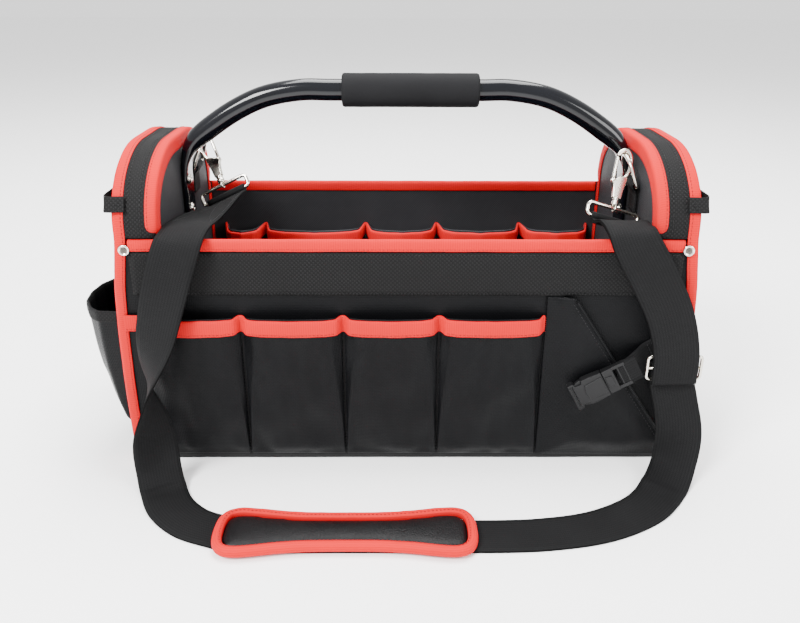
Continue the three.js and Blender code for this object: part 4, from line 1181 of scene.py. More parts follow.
@dataclass
class Ribbon:
    """A run of webbing along rows of place and width direction."""

    rows: Sequence[tuple[Vector, Vector]]
    width: float
    thickness: float
    steps: int
    floored: bool = False

    def frames(self) -> list[tuple[Vector, Vector, Vector]]:
        """The run's stations.

        Returns:
            For each station its place, its width's direction and the direction off its face.
        """
        places = [place for place, _ in self.rows]
        widths = [wide for _, wide in self.rows]
        found = []
        for i in range(self.steps + 1):
            share = i / self.steps
            low, high = max(share - 1e-4, 0.0), min(share + 1e-4, 1.0)
            along = (centripetal(places, high) - centripetal(places, low)).normalized()
            across = centripetal(widths, share)
            across = (across - along * across.dot(along)).normalized()
            place = centripetal(places, share)
            off = along.cross(across)
            if self.floored:
                lowest = min((place + across * a * self.width / 2 + off * b * self.thickness / 2).z
                             for a in (-1, 1) for b in (-1, 1))
                place.z -= min(lowest, 0.0)
            found.append((place, across, off))
        return found

    def add(self, shell: Shell, columns: int = 7) -> None:
        """Adds the run to a shell, with the given number of points across the webbing."""
        shares = [mix(-0.5, 0.5, c / (columns - 1)) for c in range(columns)]
        rows = [[place + across * (a * self.width) for a in shares] for place, across, _ in self.frames()]
        shell.sheet(rows, self.thickness)


# Pockets


def rounded(line: Pairs, rounds: int = 2) -> Pairs:
    """Cuts the corners of an open line of pairs, keeping its ends.

    Args:
        line: The line's points.
        rounds: How many times to cut.

    Returns:
        The smoother line.
    """
    for _ in range(rounds):
        cut = [line[0]]
        for (ax, ay), (bx, by) in zip(line, line[1:]):
            cut += [(mix(ax, bx, 0.25), mix(ay, by, 0.25)), (mix(ax, bx, 0.75), mix(ay, by, 0.75))]
        line = cut + [line[-1]]
    return line


@dataclass(frozen=True)
class Pouch:
    """Sizes of a row of open pockets, in millimetres."""

    top: float
    foot: float
    depth: float
    pleat: float
    deepen: Table = ((0.0, 0.35), (0.3, 0.62), (0.65, 0.9), (0.88, 1.0), (1.0, 1.0))
    gather: Table = ((0.0, 0.03), (0.3, 0.26), (0.6, 0.7), (0.78, 1.0), (0.9, 0.92), (1.0, 0.6))
    face: Table = ((0.0, 0.72), (0.12, 0.9), (0.5, 1.04), (0.88, 0.9), (1.0, 0.72))

    def sink(self, d: float) -> float:
        """How much of its droop the mouth has at a distance off the wall, as a share."""
        return smooth(max(d - 2.5, 0.0) / self.depth * 1.3)

    def section(self, x0: float, x1: float, height: float, inset: float, columns: int) -> Pairs:
        """The pocket's plan at one height.

        Args:
            x0: Its first seam.
            x1: Its last seam.
            height: Share of its height.
            inset: How far inside its outer face to stay.
            columns: Points across its face.

        Returns:
            Pairs of place along the wall and distance off it.
        """
        deep = self.depth * table(self.deepen, height) - inset
        fold = self.pleat * table(self.gather, height) + inset
        left, right = x0 + fold, x1 - fold
        legs = 5
        corner = deep * self.face[0][1]
        start = [(mix(x0 + inset, left, i / legs), mix(0.7, corner, i / legs)) for i in range(legs)]
        front = []
        for c in range(columns):
            share = c / (columns - 1)
            front.append((mix(left, right, share), deep * table(self.face, share)))
        end = [(x1 - inset - (a - x0 - inset), b) for a, b in reversed(start)]
        return start + front + end

    def cloth(self, x0: float, x1: float, inset: float, seed: float, rumple: float = 0.5,
              columns: int = 31, levels: int = 37) -> list[list[tuple[float, float, float]]]:
        """The pocket's cloth, with soft folds that follow its pleats.

        Args:
            x0: Its first seam.
            x1: Its last seam.
            inset: How far inside its outer face the cloth's middle lies.
            seed: Shift of its folds.
            rumple: Depth of the folds, in millimetres.
            columns: Points across its face.
            levels: Rows from foot to mouth.

        Returns:
            Rows of place along the wall, distance off it and height.
        """
        rows = []
        for r in range(levels):
            height = r / (levels - 1)
            z = mix(self.foot + inset, self.top - 0.2, height)
            tuck = smooth(height * 14.0 + 0.08)
            row = []
            for x, d in self.section(x0, x1, height, inset, columns):
                free = min(x - x0, x1 - x) / (x1 - x0) * 2.0
                fold = ripple(mm(x, 0, z * 0.35), 0.012, seed) * 0.55
                fold += ripple(mm(x, 0, z), 0.03, seed + 7) * 0.9
                hold = smooth(free * 4.0) * smooth((1.02 - height) * 6.0)
                row.append((x, max(d * tuck + fold * rumple * hold - 0.35 * rumple * hold, 0.75), z))
            rows.append(row)
        return rows


FRONT_POUCH = Pouch(151.0, 6.0, 12.0, 9.5)
INNER_POUCH = Pouch(174.0, 12.0, 34.0, 10.0)
SIDE_POUCH = Pouch(
    148.0, 30.0, 43.0, 1.5,
    deepen=((0.0, 0.3), (0.2, 0.6), (0.5, 0.88), (0.75, 0.97), (1.0, 1.0)),
    gather=((0.0, 0.2), (0.2, 0.5), (0.5, 0.8), (0.75, 1.0), (1.0, 1.0)),
    face=((0.0, 0.5), (0.1, 0.74), (0.28, 0.94), (0.5, 1.0), (0.72, 0.94), (0.9, 0.74), (1.0, 0.5)))


@dataclass
class Pockets:
    """Every pocket, inside and out, with the tapes over their mouths."""

    front_wall: float = -106.0
    inner_wall: float = SHAPE.core_depth
    front_seams: tuple[float, ...] = (-236.25, -147.0, -56.5, 29.0, 123.0)
    inner_seams: tuple[float, ...] = (-198.09, -153.36, -42.6, 36.21, 127.8, 203.4)
    gap: float = 0.45

    def row(self, word: str, spec: Pouch, seams: Sequence[float], wall: float, cloth: Material) -> None:
        """Makes a row of pockets along a wall.

        Args:
            word: The row's name.
            spec: Its sizes.
            seams: Where it is sewn down.
            wall: Depth of the wall behind it.
            cloth: Its finish.
        """
        for i, (x0, x1) in enumerate(zip(seams, seams[1:])):
            grid = spec.cloth(x0 + self.gap, x1 - self.gap, 0.75, 60.0 + 9.0 * i, 3.2)
            shell = Shell()
            shell.sheet([[mm(x, wall - d, z) for x, d, z in row] for row in grid], 1.3 * MM)
            piece = shell.build(f"{word}_pocket_cloth_{i + 1}", cloth, levels=1)
            settle(piece, "black_fabric", f"{word}_pocket_{i + 1}")

    def mouth(self, spec: Pouch, seams: Sequence[float], lead: float) -> Pairs:
        """The line that a mouth tape follows over a row of pockets.

        Args:
            spec: The row's sizes.
            seams: Where it is sewn down.
            lead: Where the tape starts, left of the first seam, or the seam itself.

        Returns:
            Pairs of place along the wall and distance off it.
        """
        line: Pairs = []
        if lead < seams[0]:
            line += [(lead, 2.3), (mix(lead, seams[0], 0.6), 2.3)]
        for x0, x1 in zip(seams, seams[1:]):
            section = spec.section(x0 + 0.6, x1 - 0.6, 1.0, 0.0, 15)
            line += [(x, max(d, 1.9)) for x, d in section]
        return rounded(line)

    def mouth_tape(self, name: str, spec: Pouch, seams: Sequence[float], wall: float, tall: float, lead: float,
                   node: str, droop: float) -> None:
        """Makes one red tape folded over the mouths of a row of pockets.

        Args:
            name: The piece's name.
            spec: The row's sizes.
            seams: Where the row is sewn down.
            wall: Depth of the wall behind the row.
            tall: Height of the tape.
            lead: Where it starts along the wall.
            node: The solid that it stands for.
            droop: How far it sinks between two seams, in millimetres.
        """
        line = self.mouth(spec, seams, lead)
        section = ((1.0, -tall + 0.4), (1.15, -tall + 2.0), (1.25, -tall * 0.6), (1.2, -4.0), (1.05, -1.9),
                   (0.5, -0.75), (-0.5, -0.7), (-1.1, -1.9), (-1.3, -4.0), (-1.35, -tall * 0.6),
                   (-1.3, -tall + 1.0))
        rows: Rows = []
        for away, high in section:
            row = []
            for i, (x, d) in enumerate(line):
                px, pd = line[max(i - 1, 0)]
                nx, nd = line[min(i + 1, len(line) - 1)]
                length = math.hypot(nx - px, nd - pd) or 1.0
                side, off = (nd - pd) / length, (nx - px) / length
                far = max(d + off * away, 1.0 if away > 0 else 0.75)
                sink = spec.sink(d) * droop
                wave = 0.35 * ripple(mm(x, d, high), 0.011, 71.0)
                row.append(mm(x - side * away, wall - far, spec.top + high - sink + wave))
            rows.append(row)
        shell = Shell()
        shell.sheet(rows, 1.15 * MM)
        settle(shell.build(name, MATERIALS.red_tape, levels=1), "red_binding", node)
        seam = Shell()
        low = [mm(x, wall - max(d, 1.3) - 1.95, spec.top - tall + 2.6 - spec.sink(d) * droop) for x, d in line]
        seam.stitches(low, AHEAD)
        for x in seams[1:]:
            for k in range(7):
                z = spec.top - 1.6 - k * (tall - 3.2) / 6
                tack = [mm(x - 1.5, wall - 3.4, z), mm(x + 1.5, wall - 3.4, z - 1.1)]
                seam.stitches(tack, AHEAD, gap=0.003, long=0.0029, wide=0.0009)
        settle(seam.build(f"{name}_stitching", MATERIALS.red_thread), "red_binding")

    def seams(self) -> None:
        """Makes the stitched lines that hold the front pockets down between their pleats."""
        shell = Shell()
        for x in self.front_seams[1:]:
            for away in (-0.9, 0.9):
                shell.stitches([mm(x + away * mix(0.5, 1.6, z / 135.0), self.front_wall - 0.5, z)
                                for z in range(8, 134, 4)], AHEAD, wide=0.0006)
        settle(shell.build("front_pocket_seams", MATERIALS.black_thread), "black_fabric")

    def slanted(self) -> None:
        """Makes the slanted pocket at the front's right end and its piped edge."""
        left, right, foot, top = 123.6, 245.2, 6.4, 168.2
        head, tail = Vector((148.0, 168.6)), Vector((245.6, 21.0))

        def roof(x: float) -> float:
            """Height of the pocket's edge at a place."""
            if x <= head.x:
                return top
            return min(top, mix(head.y, tail.y, (x - head.x) / (tail.x - head.x)) - 0.3)

        rows: Rows = []
        for r in range(61):
            row = []
            for c in range(61):
                x = mix(left, right, c / 60)
                high = roof(x)
                z = mix(foot, high, r / 60)
                near = min((x - left) / 34.0, (z - foot) / 22.0 + 0.12, 1.0)
                if x < head.x:
                    near = min(near, max((high - z) / 30.0, 0.0) + smooth((x - left - 8.0) / 18.0))
                else:
                    near = min(near, (right - x) / 3.0 + 0.3)
                fold = 3.4 * ripple(mm(x + 0.6 * z, 0, z * 0.5), 0.030, 81.0)
                fold += 0.6 * ripple(mm(x, 0, z), 0.012, 85.0)
                deep = 0.8 + 5.6 * smooth(near) + fold * smooth(near) * 0.8
                row.append(mm(x, self.front_wall - max(deep, 0.75), z))
            rows.append(row)
        shell = Shell()
        shell.sheet(rows, 1.3 * MM)
        settle(shell.build("slanted_pocket_cloth", MATERIALS.nylon), "black_fabric", "slanted_pocket")
        edge = []
        for i in range(40):
            x = mix(149.0, 243.5, i / 39)
            edge.append(mm(x, self.front_wall - 7.6, roof(x) - 1.0))
        piping = Shell()
        piping.tube(edge, 1.35 * MM, sides=12)
        settle(piping.build("slanted_pocket_piping", MATERIALS.nylon), "black_webbing", "slanted_pocket_edging")
        seam = Shell()
        below = [p + Vector((-0.0032, 0.0003, -0.0022)) for p in edge]
        seam.stitches(below, AHEAD)
        settle(seam.build("slanted_pocket_stitching", MATERIALS.black_thread), "black_webbing")

    def side(self) -> None:
        """Makes the pouch on the left end, with its hemmed mouth."""
        grid = SIDE_POUCH.cloth(-49.6, 49.6, 0.8, 91.0, 1.6, columns=37)
        wall, middle = -257.6, -44.0
        shell = Shell()
        shell.sheet([[mm(wall - d, middle - x, z) for x, d, z in row] for row in grid], 1.4 * MM)
        settle(shell.build("side_pocket_cloth", MATERIALS.nylon, levels=1), "black_fabric", "side_pocket")
        section = SIDE_POUCH.section(-49.6, 49.6, 1.0, 0.8, 37)
        hem = Shell()
        rows = []
        for away, z in ((0.9, 137.0), (1.0, 140.0), (1.0, 145.0), (0.7, 147.2), (0.0, 147.8), (-0.8, 147.0),
                        (-1.0, 144.0), (-1.0, 138.0)):
            rows.append([mm(wall - max(d + away, 0.6), middle - x * (1 + away * 0.012), z) for x, d in section])
        hem.sheet(rows, 1.1 * MM)
        settle(hem.build("side_pocket_hem", MATERIALS.banding, levels=1), "black_fabric")

    def make(self) -> None:
        """Builds every pocket."""
        self.row("front", FRONT_POUCH, self.front_seams, self.front_wall, MATERIALS.nylon)
        self.row("inner", INNER_POUCH, self.inner_seams, self.inner_wall, MATERIALS.lining)
        self.mouth_tape("front_mouth_tape", FRONT_POUCH, self.front_seams, self.front_wall, 16.0, -249.6,
                        "front_pocket_binding", 1.6)
        self.mouth_tape("inner_mouth_tape", INNER_POUCH, self.inner_seams, self.inner_wall, 13.0, -198.09,
                        "inner_pocket_binding", 2.2)
        self.seams()
        self.slanted()
        self.side()


# Handle


@dataclass
class Handle:
    """The bent steel tube with flattened tangs, its screws and its foam grip."""

    tube: float = 20.0
    top: float = 330.0
    reach: float = 208.9
    grip_middle: float = 4.0
    grip_length: float = 126.0
    grip_diameter: float = 30.5

    def bar(self) -> None:
        """Makes the tube, round on top and pressed flat where it is screwed to the end walls."""
        r, top = self.tube / 2, self.top
        half = [(-self.reach, 202.6, 14.0, 2.0), (-self.reach, 226.0, 14.0, 2.0), (-208.8, 250.0, 13.8, 2.1),
                (-207.8, 264.0, 12.4, 3.6), (-203.6, 277.0, 10.8, 6.8), (-196.5, 285.5, 10.2, 9.2),
                (-187.0, 293.0, r, r), (-159.5, 311.0, r, r), (-130.9, 323.8, r, r),
                (-96.7, top, r, r), (-70.0, top, r, r), (-31.8, top, r, r)]
        path = half + [(-x, z, wide, thick) for x, z, wide, thick in reversed(half)]
        places = [mm(x, 0, z) for x, z, _, _ in path]
        sizes = [Vector((wide, thick, 0)) for _, _, wide, thick in path]
        rings: Rows = []
        count = 220
        for i in range(count):
            share = i / (count - 1)
            place = centripetal(places, share)
            before = centripetal(places, max(share - 0.002, 0))
            along = (centripetal(places, min(share + 0.002, 1)) - before).normalized()
            spot = share * (len(sizes) - 1)
            first = min(int(spot), len(sizes) - 2)
            wide, thick, _ = sizes[first].lerp(sizes[first + 1], spot - first)
            side = Vector((0, 1, 0))
            up = along.cross(side)
            power = mix(0.35, 1.0, smooth((thick - 2.0) / 8.0))
            ring = []
            for k in range(40):
                c, s = math.cos(math.tau * k / 40), math.sin(math.tau * k / 40)
                a = math.copysign(abs(c) ** power, c) * wide * MM
                b = math.copysign(abs(s) ** power, s) * thick * MM
                ring.append(place + side * a + up * b)
            rings.append(ring)
        shell = Shell()
        shell.skin(rings)
        settle(shell.build("bent_tube", MATERIALS.handle_paint), "handle_paint", "handle_tube")

    def screws(self) -> None:
        """Makes the four domed screws with their washers."""
        head = ((0.0, 0.0), (5.2, 0.0), (5.3, 0.4), (5.1, 0.8), (4.0, 0.85), (4.0, 1.3), (3.7, 1.9), (2.9, 2.4),
                (2.0, 2.6), (1.8, 2.5), (1.7, 1.5), (0.0, 1.4))
        for side in Side:
            for level, z in (("upper", 247.9), ("lower", 219.8)):
                shell = Shell()
                shell.turned(head, 32, mm(side.value * 206.6, -5.6, z), Vector((-side.value, 0, 0)))
                node = f"{side.word}_{level}_screw"
                settle(shell.build(f"{node}_head", MATERIALS.nickel), "nickel", node)

    def grip(self) -> None:
        """Makes the foam sleeve, a little uneven and rounded at its ends."""
        inner, outer, half = 10.25, self.grip_diameter / 2, self.grip_length / 2
        rings: Rows = []
        profile = [(inner, -half + 0.6), (inner + 1.6, -half), (outer - 2.0, -half), (outer - 0.7, -half + 0.6),
                   (outer, -half + 2.2)]
        profile += [(outer, mix(-half + 4, half - 4, i / 24)) for i in range(25)]
        profile += [(r, -x) for r, x in reversed(profile[:5])]
        for r, x in profile:
            ring = []
            for k in range(56):
                a = math.tau * k / 56
                dent = 0.16 * ripple(mm(x, 14 * math.cos(a), 14 * math.sin(a)), 0.012, 95.0) if r > 14 else 0.0
                place = mm(self.grip_middle + x, (r + dent) * math.cos(a), self.top + (r + dent) * math.sin(a))
                ring.append(place)
            rings.append(ring)
        shell = Shell()
        shell.skin([ring[::-1] for ring in rings], closed=True)
        settle(shell.build("foam_sleeve", MATERIALS.foam), "grip_foam", "handle_grip")

    def make(self) -> None:
        """Builds the handle."""
        self.bar()
        self.screws()
        self.grip()


# Rings, hooks and eyes, the right-hand ones ahead of the bag's middle and the left-hand ones behind it

RING_OFFSET = 36.0


def round_box(half_width: float, half_height: float, radius: float, steps: int) -> Pairs:
    """A rounded rectangle's outline.

    Args:
        half_width: Half the distance between the middles of two corners, across.
        half_height: The same, up.
        radius: Radius of the corners.
        steps: Parts of each corner.

    Returns:
        Pairs of place across and up.
    """
    outline = []
    for sx, sy, start in ((1, 1, 0), (-1, 1, 90), (-1, -1, 180), (1, -1, 270)):
        for i in range(steps + 1):
            a = math.radians(start + 90 * i / steps)
            outline.append((sx * half_width + radius * math.cos(a), sy * half_height + radius * math.sin(a)))
    return outline


@dataclass(frozen=True)
class HookPose:
    """How one snap hook hangs, in degrees."""

    side: Side
    swing: float
    lean: float = 28.0
    eye_turn: float = 0.0

    def frame(self) -> Matrix:
        """The hook's own frame, its origin at the middle of the wire that it hangs from."""
        spin = Matrix.Rotation(math.radians(self.side.value * self.swing), 4, "Y")
        tip = Matrix.Rotation(math.radians(-self.lean), 4, "X")
        place = mm(self.side.value * 198.6, -self.side.value * RING_OFFSET, 278.0914)
        return Matrix.Translation(place) @ spin @ tip

    def at(self, x: float, y: float, z: float) -> Vector:
        """A place drawn for the right-hand hook, in millimetres, put where this hook has it."""
        return self.frame() @ mm(self.side.value * x, y, z)

    def toward(self, x: float, y: float, z: float) -> Vector:
        """A direction of the hook's own frame, as it lies in the scene."""
        return (self.frame().to_3x3() @ Vector((x, y, z))).normalized()

    def eye_bar(self) -> tuple[Vector, Vector, Vector]:
        """The eye's lower bar: its middle, its direction and the way down from it."""
        turn = math.radians(self.eye_turn)
        along = self.toward(self.side.value * math.cos(turn), math.sin(turn), 0)
        return self.at(0, 0, -62.35), along, self.toward(0, 0, -1)


LEFT_HOOK = HookPose(Side.LEFT, 26.0)
RIGHT_HOOK = HookPose(Side.RIGHT, 15.0, eye_turn=6.0)


@dataclass
class Hardware:
    """The D-rings with their tabs, the snap hooks with their gates, and the strap's eyes."""

    ring_bar_x: float = 207.6
    ring_bar_z: float = 252.0
    ring_wire: float = 3.4
    hook_wire: float = 4.0
    eye_wire: float = 3.5
    ring_half: float = 16.3
    ring_reach: float = 27.6
    ring_tip: float = 9.0
    cheek: float = 4.7
    eye_size: tuple[float, float] = (49.45, 11.5)
    eye_corner: float = 3.5

    def ring(self, side: Side) -> None:
        """Makes one D-ring and the webbing tab that holds its bar."""
        half, reach = self.ring_half, self.ring_reach
        lean = math.asin(self.ring_tip / reach)
        bend = [math.pi * i / 24 for i in range(25)]
        outline = [(-half, 0.0), (0.0, 0.0), (half, 0.0)]
        outline += [(half * math.cos(a), reach * (0.25 + 0.75 * math.sin(a))) for a in bend]
        outline = rounded(outline + [outline[0]])[1:-1]
        ring = []
        for across, high in outline:
            x = self.ring_bar_x - high * math.sin(lean)
            z = self.ring_bar_z + high * math.cos(lean)
            ring.append(mm(side.value * x, across - side.value * RING_OFFSET, z))
        shell = Shell()
        shell.tube(ring, self.ring_wire / 2 * MM, sides=20, closed=True)
        settle(shell.build(f"{side.word}_ring_wire", MATERIALS.nickel), "nickel", f"{side.word}_d_ring")
        loop = [(211.9, 226.6), (211.8, 236.0), (211.6, 246.0), (210.9, 250.2), (210.2, 252.6), (208.9, 254.4),
                (207.0, 254.8), (205.2, 253.4), (204.95, 251.2), (206.2, 248.8), (208.6, 246.0), (209.7, 242.0),
                (209.9, 234.0), (210.0, 226.6)]
        y0 = -side.value * RING_OFFSET
        rows = [[Vector((side.value * p.x, (y0 + y) * MM, p.z)) for y in (-12, -8, -4, 0, 4, 8, 12)]
                for p in curve([mm(x, 0, z) for x, z in loop], 60)]
        tab = Shell()
        tab.sheet(rows if side is Side.LEFT else [row[::-1] for row in rows], 1.2 * MM)
        piece = tab.build(f"{side.word}_ring_webbing", MATERIALS.banding)
        settle(piece, "black_webbing", f"{side.word}_ring_tab")
        box = Shell()
        corners = [(-9, 228.5), (9, 228.5), (9, 242), (-9, 242), (-9, 228.5), (9, 242)]
        box.stitches([mm(side.value * 209.2, y0 + y, z) for y, z in corners], Vector((-side.value, 0, 0)),
                     gap=0.0028, long=0.0022)
        settle(box.build(f"{side.word}_ring_stitching", MATERIALS.black_thread), "black_webbing")

    def hook(self, pose: HookPose) -> None:
        """Makes one snap hook: bow, stamped body, swivel barrel, pivot and gate."""
        word = pose.side.word
        wide, tall, middle = 7.5, 13.5, -9.5
        angles = [math.radians(mix(-64, 148, i / 47)) for i in range(48)]
        bow = [pose.at(wide * math.cos(a), 0, middle + tall * math.sin(a)) for a in angles]
        shell = Shell()
        thick = [self.hook_wire / 2 * MM * mix(0.92, 1.0, smooth((47 - i) / 6)) for i in range(48)]
        shell.tube(bow, thick, sides=20)
        body = [(-8.2, -23.7), (-4.2, -23.6), (-2.4, -22.2), (0.0, -21.2), (3.2, -20.0), (6.0, -20.1),
                (6.1, -22.5), (5.4, -27.0), (4.6, -33.0), (4.0, -41.6), (-4.0, -41.6), (-4.7, -35.0),
                (-6.4, -29.0), (-8.2, -26.2)]
        frame = pose.frame() @ Matrix.Rotation(math.radians(90), 4, "X")
        cheek = Shell()
        cheek.prism([(pose.side.value * x, z) for x, z in body], -self.cheek / 2, self.cheek / 2, frame)
        settle(shell.build(f"{word}_hook_bow", MATERIALS.nickel), "nickel", f"{word}_hook_body")
        settle(cheek.build(f"{word}_hook_cheek", MATERIALS.nickel, bevel=0.0009), "nickel")
        barrel = Shell()
        profile = ((0.0, 0.0), (3.0, 0.0), (3.5, 0.7), (3.5, 2.0), (3.0, 2.5), (3.0, 3.1), (3.6, 3.6),
                   (3.6, 6.4), (3.1, 7.3), (2.2, 7.9), (0.0, 8.0))
        barrel.turned(profile, 32, pose.at(0, 0, -41.0), pose.toward(0, 0, -1))
        turn = math.radians(pose.eye_turn)
        saddle = []
        for k in range(28):
            a = math.tau * k / 28
            y, z = 2.75 * math.cos(a), -50.85 + 2.75 * math.sin(a)
            saddle.append(pose.at(-y * math.sin(turn), y * math.cos(turn), z))
        barrel.tube(saddle, 0.85 * MM, sides=12, closed=True)
        settle(barrel.build(f"{word}_hook_swivel", MATERIALS.nickel), "nickel")
        pin = Shell()
        cap = ((0.0, 0.0), (1.2, 0.0), (1.2, 5.2), (0.8, 5.6), (0.0, 5.7))
        pin.turned(cap, 20, pose.at(-6.3, -2.85, -25.2), pose.toward(0, 1, 0))
        settle(pin.build(f"{word}_hook_pin", MATERIALS.nickel), "nickel")
        gate = Shell()
        spine = [pose.at(-6.45, 0, z) for z in (-23.0, -22.4, -21.2, -18.0, -12.0, -7.0, -4.6, -3.6)]
        radii = [r * MM for r in [1.1] + [1.5] * 19 + [1.55, 1.5, 1.35, 1.1]]
        gate.tube(curve(spine, 24), radii, sides=16, flat=1.15, lie=pose.toward(1, 0, 0))
        piece = gate.build(f"{word}_gate_bar", MATERIALS.nickel)
        settle(piece, "nickel", f"{word}_hook_gate", body=f"{word}_gate")

    def eye(self, pose: HookPose) -> None:
        """Makes the flat wire eye that holds the strap."""
        word = pose.side.word
        turn = math.radians(pose.eye_turn)
        width, height = self.eye_size
        outline = round_box(width / 2 - self.eye_corner, height / 2 - self.eye_corner, self.eye_corner, 8)
        loop = [pose.at(x * math.cos(turn), x * math.sin(turn), z - 56.6) for x, z in outline]
        shell = Shell()
        shell.tube(loop, self.eye_wire / 2 * MM, sides=18, closed=True)
        settle(shell.build(f"{word}_eye_wire", MATERIALS.nickel), "nickel", f"{word}_strap_eye")

    def make(self) -> None:
        """Builds everything that the strap hangs from."""
        for pose in (LEFT_HOOK, RIGHT_HOOK):
            self.ring(pose.side)
            self.hook(pose)
            self.eye(pose)


# Shoulder strap


@dataclass
class ShoulderStrap:
    """The webbing from hook to hook, its slider, and the pad that lies on it."""

    width: float = 0.040
    thickness: float = 0.0016
    pad_x: float = -51.0
    pad_y: float = -221.5
    pad_length: float = 219.0
    pad_width: float = 60.0
    pad_waist: float = 46.0
    pad_end: float = 0.79
    pad_round: float = 2.7
    slider_place: tuple[float, float, float] = (240.0, -119.54, 104.5)
    layer_gap: float = 0.0002
    eye_gap: float = 0.3
    pad_shape: Table = (
        (0.0, 0.0), (0.12, 0.005), (0.3, 0.06), (0.5, 0.35), (0.66, 0.78), (0.78, 1.0), (1.0, 1.0))

    @staticmethod
    def _row(across: float, ahead: float, up: float | None,
             face: tuple[float, float, float]) -> tuple[Vector, Vector]:
        """A station given as shares of the bag's sizes."""
        z = 0.8 if up is None else max(up * SHAPE.panel_height, 0.8)
        return mm(across * SHAPE.half_width, -SHAPE.half_depth * (1 + 2 * ahead), z), Vector(face)

    def _bend(self, thick: float) -> float:
        """How far the middle of webbing of this thickness runs from the middle of an eye's bar."""
        return (Hardware.eye_wire / 2 + self.eye_gap) * MM + thick / 2

    def _leave(self, pose: HookPose, thick: float) -> list[tuple[Vector, Vector]]:
        """The first two stations, where the webbing comes off an eye's bar."""
        bar, along, down = pose.eye_bar()
        drop = self._bend(thick)
        place = bar + down * drop
        across = along * math.copysign(1.0, along.x)
        ahead = Vector((0, 0, -1)).cross(across).normalized()
        return [(place, across), (place + ahead * (2 * drop), across)]

    def _fold(self, shell: Shell, pose: HookPose) -> None:
        """Adds the webbing wrapped round an eye's bar."""
        bar, along, down = pose.eye_bar()
        off = along.cross(down)
        bend = self._bend(self.thickness)
        rows: Rows = []
        angles = [math.tau * k / 24 for k in range(24)]
        for c in range(9):
            centre = bar + along * (self.width * mix(-0.5, 0.5, c / 8))
            rows.append([centre + (down * math.cos(a) + off * math.sin(a)) * bend for a in angles])
        shell.sheet(rows, self.thickness, loop=True)

    def long_run(self) -> None:
        """Makes the long run: left hook, down to the floor, under the pad and up to the slider."""
        left = [(-0.752, -0.24, 1.02, (1, -0.15, 0)), (-0.76, -0.03, 1.032, (1, 0, 0)),
                (-0.772, 0.036, 1.0, (1, 0, 0)), (-0.81, 0.06, 0.88, (1, 0, 0)),
                (-0.868, 0.098, 0.64, (1, -0.35, 0)), (-0.905, 0.155, 0.4, (0.15, -1, 0)),
                (-0.903, 0.16, 0.2, (-0.8, -0.7, 0)), (-0.893, 0.185, 0.055, (-1, -0.15, 0)),
                (-0.872, 0.235, None, (-1, -0.2, 0)), (-0.82, 0.35, None, (-1, -0.5, 0)),
                (-0.73, 0.45, None, (-0.8, -1, 0)), (-0.62, 0.505, None, (-0.4, -1, 0))]
        right = [(0.2, 0.532, None, (0, -1, 0)), (0.45, 0.522, None, (0.15, -1, 0)),
                 (0.66, 0.47, None, (0.5, -1, 0)), (0.83, 0.36, None, (1, -0.7, 0)),
                 (0.925, 0.235, None, (1, -0.25, 0)), (0.985, 0.13, 0.06, (0.8, -0.6, 0)),
                 (1.0, 0.095, 0.19, (1, -0.3, 0)), (0.982, 0.06, 0.32, (1, 0, 0)),
                 (0.965, 0.0435, 0.4, (1, 0, 0)), (0.96, 0.0435, 0.455, (1, 0, 0)),
                 (0.96, 0.0435, 0.505, (1, 0, 0))]
        under = [(mm(self.pad_x + share * self.pad_length / 2, self.pad_y, 0.8), Vector((0, -1, 0)))
                 for share in (-0.8, -0.45, 0.45, 0.8)]
        rows = self._leave(LEFT_HOOK, self.thickness) + [self._row(*row) for row in left] + under
        rows += [self._row(*row) for row in right]
        run = Ribbon(rows, self.width, self.thickness, 420, floored=True)
        shell = Shell()
        run.add(shell, columns=9)
        self._fold(shell, LEFT_HOOK)
        settle(shell.build("long_webbing", MATERIALS.strapping), "black_webbing", "shoulder_strap")
        self._edge_stitch(run, "long_webbing_stitching", (0.012, 0.085))

    def upper_run(self) -> None:
        """Makes the doubled run from the right hook down to the slider."""
        right = [(0.75, -0.08, 1.05, (1, 0, 0)), (0.76, 0.016, 1.036, (1, -0.05, 0)),
                 (0.784, 0.051, 0.98, (1, -0.05, 0)), (0.84, 0.064, 0.873, (1, 0, 0)),
                 (0.916, 0.071, 0.705, (1, 0, 0)), (0.956, 0.0728, 0.536, (1, 0, 0)),
                 (0.96, 0.0728, 0.41, (1, 0, 0))]
        doubled = 2 * self.thickness + self.layer_gap
        rows = self._leave(RIGHT_HOOK, doubled) + [self._row(*row) for row in right]
        run = Ribbon(rows, self.width, doubled, 140)
        shell = Shell()
        for layer in (-1, 1):
            levels: Rows = []
            for place, across, off in run.frames():
                centre = place + off * (layer * (self.thickness + self.layer_gap) / 2)
                levels.append([centre + across * (self.width * mix(-0.5, 0.5, c / 8)) for c in range(9)])
            shell.sheet(levels, self.thickness)
        self._fold(shell, RIGHT_HOOK)
        settle(shell.build("upper_webbing", MATERIALS.strapping), "black_webbing", "upper_strap")
        self._edge_stitch(run, "upper_webbing_stitching", (0.05, 0.2))

    def _edge_stitch(self, run: Ribbon, name: str, span: tuple[float, float]) -> None:
        """Makes the stitched box that closes a fold of webbing.

        Args:
            run: The webbing.
            name: The piece's name.
            span: Where along the run it starts and ends, as shares.
        """
        frames = run.frames()
        low, high = (round(share * run.steps) for share in span)
        shell = Shell()
        for face in (-1, 1):
            def spot(i: int, a: float) -> Vector:
                """A place on the webbing's face."""
                place, across, off = frames[i]
                return place + across * (a * run.width) + off * (face * (run.thickness / 2 + 0.0001))

